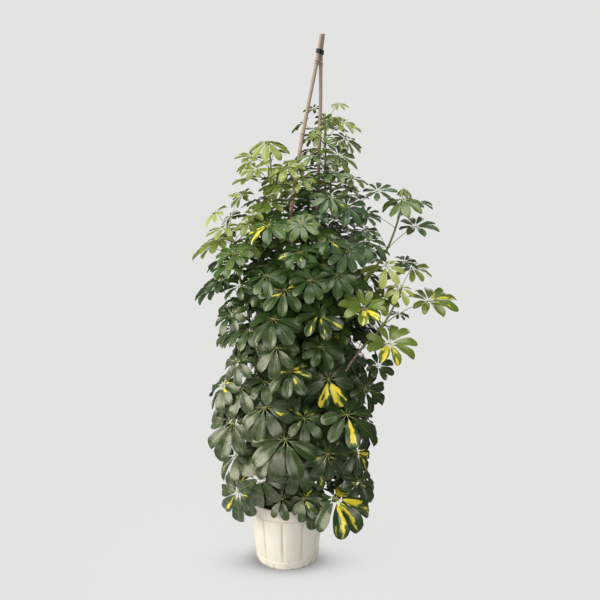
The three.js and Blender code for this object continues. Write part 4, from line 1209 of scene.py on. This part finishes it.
def leaf_skin():
    """Glossy leaf: green by age, pale midrib and veins, yellow splashes, a dusty film on old blades that is
    also a painted sheen, most at the left, matt below.
    """
    finish = Finish("leaf_skin")
    along, across = finish.attribute("along"), finish.attribute("across")
    youth, splash, seed = (finish.attribute(name) for name in ("youth", "splash", "seed"))
    under, tone = finish.attribute("underside"), finish.attribute("tone")
    side = abs(across)
    place = finish.place()
    greens = [(0, (0.011, 0.032, 0.003)), (0.3, (0.021, 0.062, 0.006)), (0.65, (0.112, 0.162, 0.014)),
              (1, (0.33, 0.37, 0.085))]
    clouds = finish.grain(place, 24, 3)
    age = youth + (clouds - 0.5) * 0.25 + tone
    colour = finish.node("ShaderNodeValToRGB", {"stops": greens}, {"Fac": age})
    # a painted grey-teal sheen, as of the sky, over the leaves of some stems
    colour = finish.mixed(finish.attribute("grey") * 0.5, colour, (0.062, 0.105, 0.072))
    vein = ((along * VEIN_PAIRS - side * VEIN_SLANT) * math.tau).sine().step(0.72, 1.0)
    colour = finish.mixed(vein * 0.18 * (1 - splash), colour, (0.14, 0.22, 0.05))
    inputs = {"X": along * 2.1 - side * 0.7, "Y": across * 0.9, "Z": seed * 31}
    flow = finish.node("ShaderNodeCombineXYZ", {}, inputs)
    patch = finish.grain(flow, 1.25, 3, 0.55) + (0.5 - side) * 0.16 + (0.6 - along) * 0.2
    edge = 0.88 - splash * 0.42
    pale = (patch - edge).step(-0.06, 0.0) * splash.step(0.05, 0.15)
    gold = (patch - edge).step(0.0, 0.03) * splash.step(0.05, 0.15)
    colour = finish.mixed(pale * 0.6, colour, (0.20, 0.28, 0.03))
    colour = finish.mixed(gold, colour, (0.76, 0.62, 0.035))
    midrib = 1 - side.step(0.02, 0.09)
    colour = finish.mixed(midrib * 0.35, colour, (0.20, 0.28, 0.07))
    stalklet = 1 - along.step(0.12, 0.20)
    colour = finish.mixed(stalklet * 0.85, colour, (0.36, 0.40, 0.13))
    # a dusty beige film on old low blades, laid on thickest at the left as a painted sheen where the key lamp
    # would glint
    dust_and_sheen = finish.grain(place, 60, 4, 0.6).step(0.35, 0.8) * (1 - youth.step(0.05, 0.4))
    dust_and_sheen = dust_and_sheen * (1 - finish.part(place, "Z").step(*DUST_AND_SHEEN_HEIGHTS))
    dust_and_sheen = dust_and_sheen * (DUST_AND_SHEEN_LEFT - finish.part(place, "X").step(-0.10, 0.10) * (DUST_AND_SHEEN_LEFT - DUST_AND_SHEEN_RIGHT))
    colour = finish.mixed(dust_and_sheen, colour, (0.34, 0.33, 0.25))
    colour = finish.mixed(under * 0.5, colour, (0.15, 0.21, 0.07))
    roughness = clouds * 0.2 + 0.21 + under * 0.25
    relief = vein * 0.4 + midrib * 0.8 + finish.grain(place, 180, 2) * 0.25
    sockets = {"Base Color": colour, "Roughness": roughness, "Specular IOR Level": 0.6,
               "Specular Tint": (1.0, 1.0, 0.9), "Normal": finish.bump(relief, 0.0005, 0.5)}
    return finish.close(sockets)


def is_at(leaf, row):
    """Whether this is the leaf at the front whose hub has the x and z that the row starts with."""
    off = math.hypot(leaf.hub.x - row[0], leaf.hub.z - row[1])
    return leaf.hub.y < MARKED_DEPTH and off < MARKED_WITHIN


def splash_on(reach, usual, marked, draw):
    """How much of a leaflet is yellow: by its heading where its leaf is marked, and by chance elsewhere."""
    splash = usual * draw.uniform(0, 1.6)
    if marked:
        _, _, amount, toward, width = marked
        heading = math.degrees(math.atan2(reach.z, reach.x))
        off = abs((heading - toward + 180) % 360 - 180)
        splash = amount * draw.uniform(0.85, 1.1) if off < width else 0.05
    return min(1, splash)


def leaflet_points(name, leaves, tip_youth, grey, draw):
    """The leaflets of one stem as points at their hubs, with their form and colouring."""
    points = []
    for leaf in leaves:
        count = draw.choice(LARGE_COUNTS if leaf.length > LARGE_LEAF else SMALL_COUNTS)
        height = ramp(leaf.hub.z, *HIGH_LEAVES)
        tip = ramp(leaf.share, TIP_FROM, 1)
        youth = min(1, HIGH_YOUTH * height + tip_youth * tip ** 1.3 + draw.uniform(-0.08, 0.08))
        youth = next((row[2] for row in YOUNG if is_at(leaf, row)), youth)
        marked = next((row for row in SPLASHED if is_at(leaf, row)), None)
        usual = draw.choice(USUAL_SPLASHES)
        spread = math.radians(FAN / count)
        roll = draw.uniform(-0.1, 0.1)
        broad = LEAFLET_WIDTH + (YOUNG_WIDTH - LEAFLET_WIDTH) * min(1, max(youth, height))
        for i in range(count):
            angle = (i + 0.5 - count / 2) * spread + draw.uniform(-0.06, 0.06)
            reach = leaf.tip_at(angle) * draw.uniform(0.94, 1.02)
            ahead = reach.normalized()
            face = (leaf.axis - ahead * leaf.axis.dot(ahead)).normalized()
            points.append({
                "place": leaf.hub,
                "reach": reach,
                "face": Matrix.Rotation(roll + draw.uniform(-0.22, 0.22), 3, ahead) @ face,
                "length": reach.length,
                "width": reach.length * broad * draw.uniform(0.9, 1.1),
                "arch": draw.uniform(0.0, 0.07) + 0.05 * (1 - height),
                "fold": draw.uniform(0.08, 0.32),
                "youth": youth,
                "grey": grey,
                "splash": splash_on(reach, usual, marked, draw),
                "seed": draw.random(),
                # tone differs at random, and leaves low down are darker still as painted shade
                "tone": draw.uniform(-0.05, 0.05) - (0.06 if leaf.hub.z < PAINTED_SHADE_BELOW else 0),
            })
    mesh = bpy.data.meshes.new(name + "_points")
    mesh.from_pydata([point.pop("place") for point in points], [], [])
    for label, first in points[0].items():
        values = [point[label] for point in points]
        if isinstance(first, Vector):
            flat = [part for vector in values for part in vector]
            mesh.attributes.new(label, "FLOAT_VECTOR", "POINT").data.foreach_set("vector", flat)
        else:
            mark(mesh, label, values)
    return mesh


def make_leaves():
    tree = leaf_tree()
    blank = leaflet_blank()
    skin = leaf_skin()
    for number, (name, leaves) in enumerate(plant.items()):
        points = leaflet_points(name, leaves, *STEMS[name][3:], random.Random(100 + number))
        mesh = tree.run(name + "_leaves", points, leaflet=blank, material=skin)
        piece = add_piece(name + "_leaves", mesh, None)
        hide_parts(name)
    bpy.data.objects.remove(blank)


make_leaves()

# ---------------------------------------------------------------- studio
# A plain pale floor that fades into an equally pale backdrop. A large soft lamp stands at the left, one
# hangs above, and weaker ones stand in front and behind. The camera is as high as the upper leaves.

BACKDROP = (0.766, 0.766, 0.757)
ROOM_LIGHT = 0.19  # what the room sends onto the plant, beside the lamps
SHADOW_REACH = (0.148, 0.063)  # from side to side and from front to back
SHADOW_MIDDLE = -0.05  # in front of the pot's axis
SHADOW_DEPTH = 0.85
FLOOR_HALF = 2
FLOOR_FADE = (0.35, 1.1)  # how far out it turns into the backdrop
CAMERA_PLACE = (0.0462, -2.2914, 1.3564)
CAMERA_PITCH = math.radians(10.32)
CAMERA_LENS = 41.06
LIGHTS_AIM = (0.08, 0, 0.85)
LIGHTS = [  # name, place, size, power in watts, colour
    ("key_light", (-2.9, -1.1, 1.5), 2.4, 162, (1.0, 0.94, 0.84)),
    ("sky_light", (-0.1, -0.6, 3.8), 2.2, 80, (0.98, 0.98, 0.96)),
    ("fill_light", (1.0, -3.0, 1.2), 1.6, 46, (1.0, 0.97, 0.92)),
    ("back_light", (1.0, 3.0, 2.0), 2.0, 45, (1.0, 0.98, 0.95)),
]


def pale_floor():
    """As even as the backdrop, with a soft pool of shadow under the pot and a darker line where it stands."""
    finish = Finish("pale_floor")
    place = finish.place()
    away = finish.node("ShaderNodeVectorMath", {"operation": "LENGTH"}, {0: place}, "Value")
    right = finish.part(place, "X") / SHADOW_REACH[0]
    back = (finish.part(place, "Y") - SHADOW_MIDDLE) / SHADOW_REACH[1]
    shadow = (0 - right * right - back * back).exponent() * SHADOW_DEPTH
    open_above = finish.node("ShaderNodeAmbientOcclusion", {"samples": 16}, {"Distance": 0.05}, "AO")
    light = (1 - shadow) * (open_above * 0.35 + 0.63)
    glow = finish.node("ShaderNodeEmission", {}, {"Color": BACKDROP, "Strength": light})
    matt = finish.node("ShaderNodeBsdfDiffuse", {}, {"Color": (0.02, 0.02, 0.02)})
    lit = finish.node("ShaderNodeAddShader", {}, {0: glow, 1: matt})
    clear = finish.node("ShaderNodeBsdfTransparent")
    shader = finish.node("ShaderNodeMixShader", {}, {0: away.step(*FLOOR_FADE), 1: lit, 2: clear})
    finish.node("ShaderNodeOutputMaterial", {}, {"Surface": shader})
    return finish.material


def make_floor():
    corners = [(x * FLOOR_HALF, y * FLOOR_HALF, 0) for x, y in ((-1, -1), (1, -1), (1, 1), (-1, 1))]
    mesh = bpy.data.meshes.new("floor")
    mesh.from_pydata(corners, [], [(0, 1, 2, 3)])
    mesh.materials.append(pale_floor())
    floor = put_in_scene("floor", mesh)


def light_room():
    """A room that shows the pale backdrop to the camera and sends a fainter light onto the plant."""
    world = bpy.data.worlds.new("pale_room")
    world.use_nodes = True
    room = Graph(world.node_tree)
    seen = room.node("ShaderNodeBackground", {}, {"Color": BACKDROP, "Strength": 1.0})
    glow = room.node("ShaderNodeBackground", {}, {"Color": (1.0, 0.985, 0.93), "Strength": ROOM_LIGHT})
    looked_at = room.node("ShaderNodeLightPath", {}, {}, "Is Camera Ray")
    shown = room.node("ShaderNodeMixShader", {}, {0: looked_at, 1: glow, 2: seen})
    room.node("ShaderNodeOutputWorld", {}, {"Surface": shown})
    bpy.context.scene.world = world


def set_lamp(name, place, size, power, colour):
    lamp = bpy.data.lights.new(name, "AREA")
    lamp.size = size
    lamp.energy = power
    lamp.color = colour
    light = put_in_scene(name, lamp)
    light.location = place
    light.rotation_euler = (Vector(LIGHTS_AIM) - Vector(place)).to_track_quat("-Z", "Y").to_euler()


def set_camera():
    lens = bpy.data.cameras.new("camera")
    lens.lens = CAMERA_LENS
    camera = put_in_scene("camera", lens)
    camera.location = CAMERA_PLACE
    camera.rotation_euler = (math.pi / 2 - CAMERA_PITCH, 0, 0)
    bpy.context.scene.camera = camera
    bpy.context.scene.view_settings.view_transform = "Standard"


make_floor()
light_room()
for lamp in LIGHTS:
    set_lamp(*lamp)
set_camera()
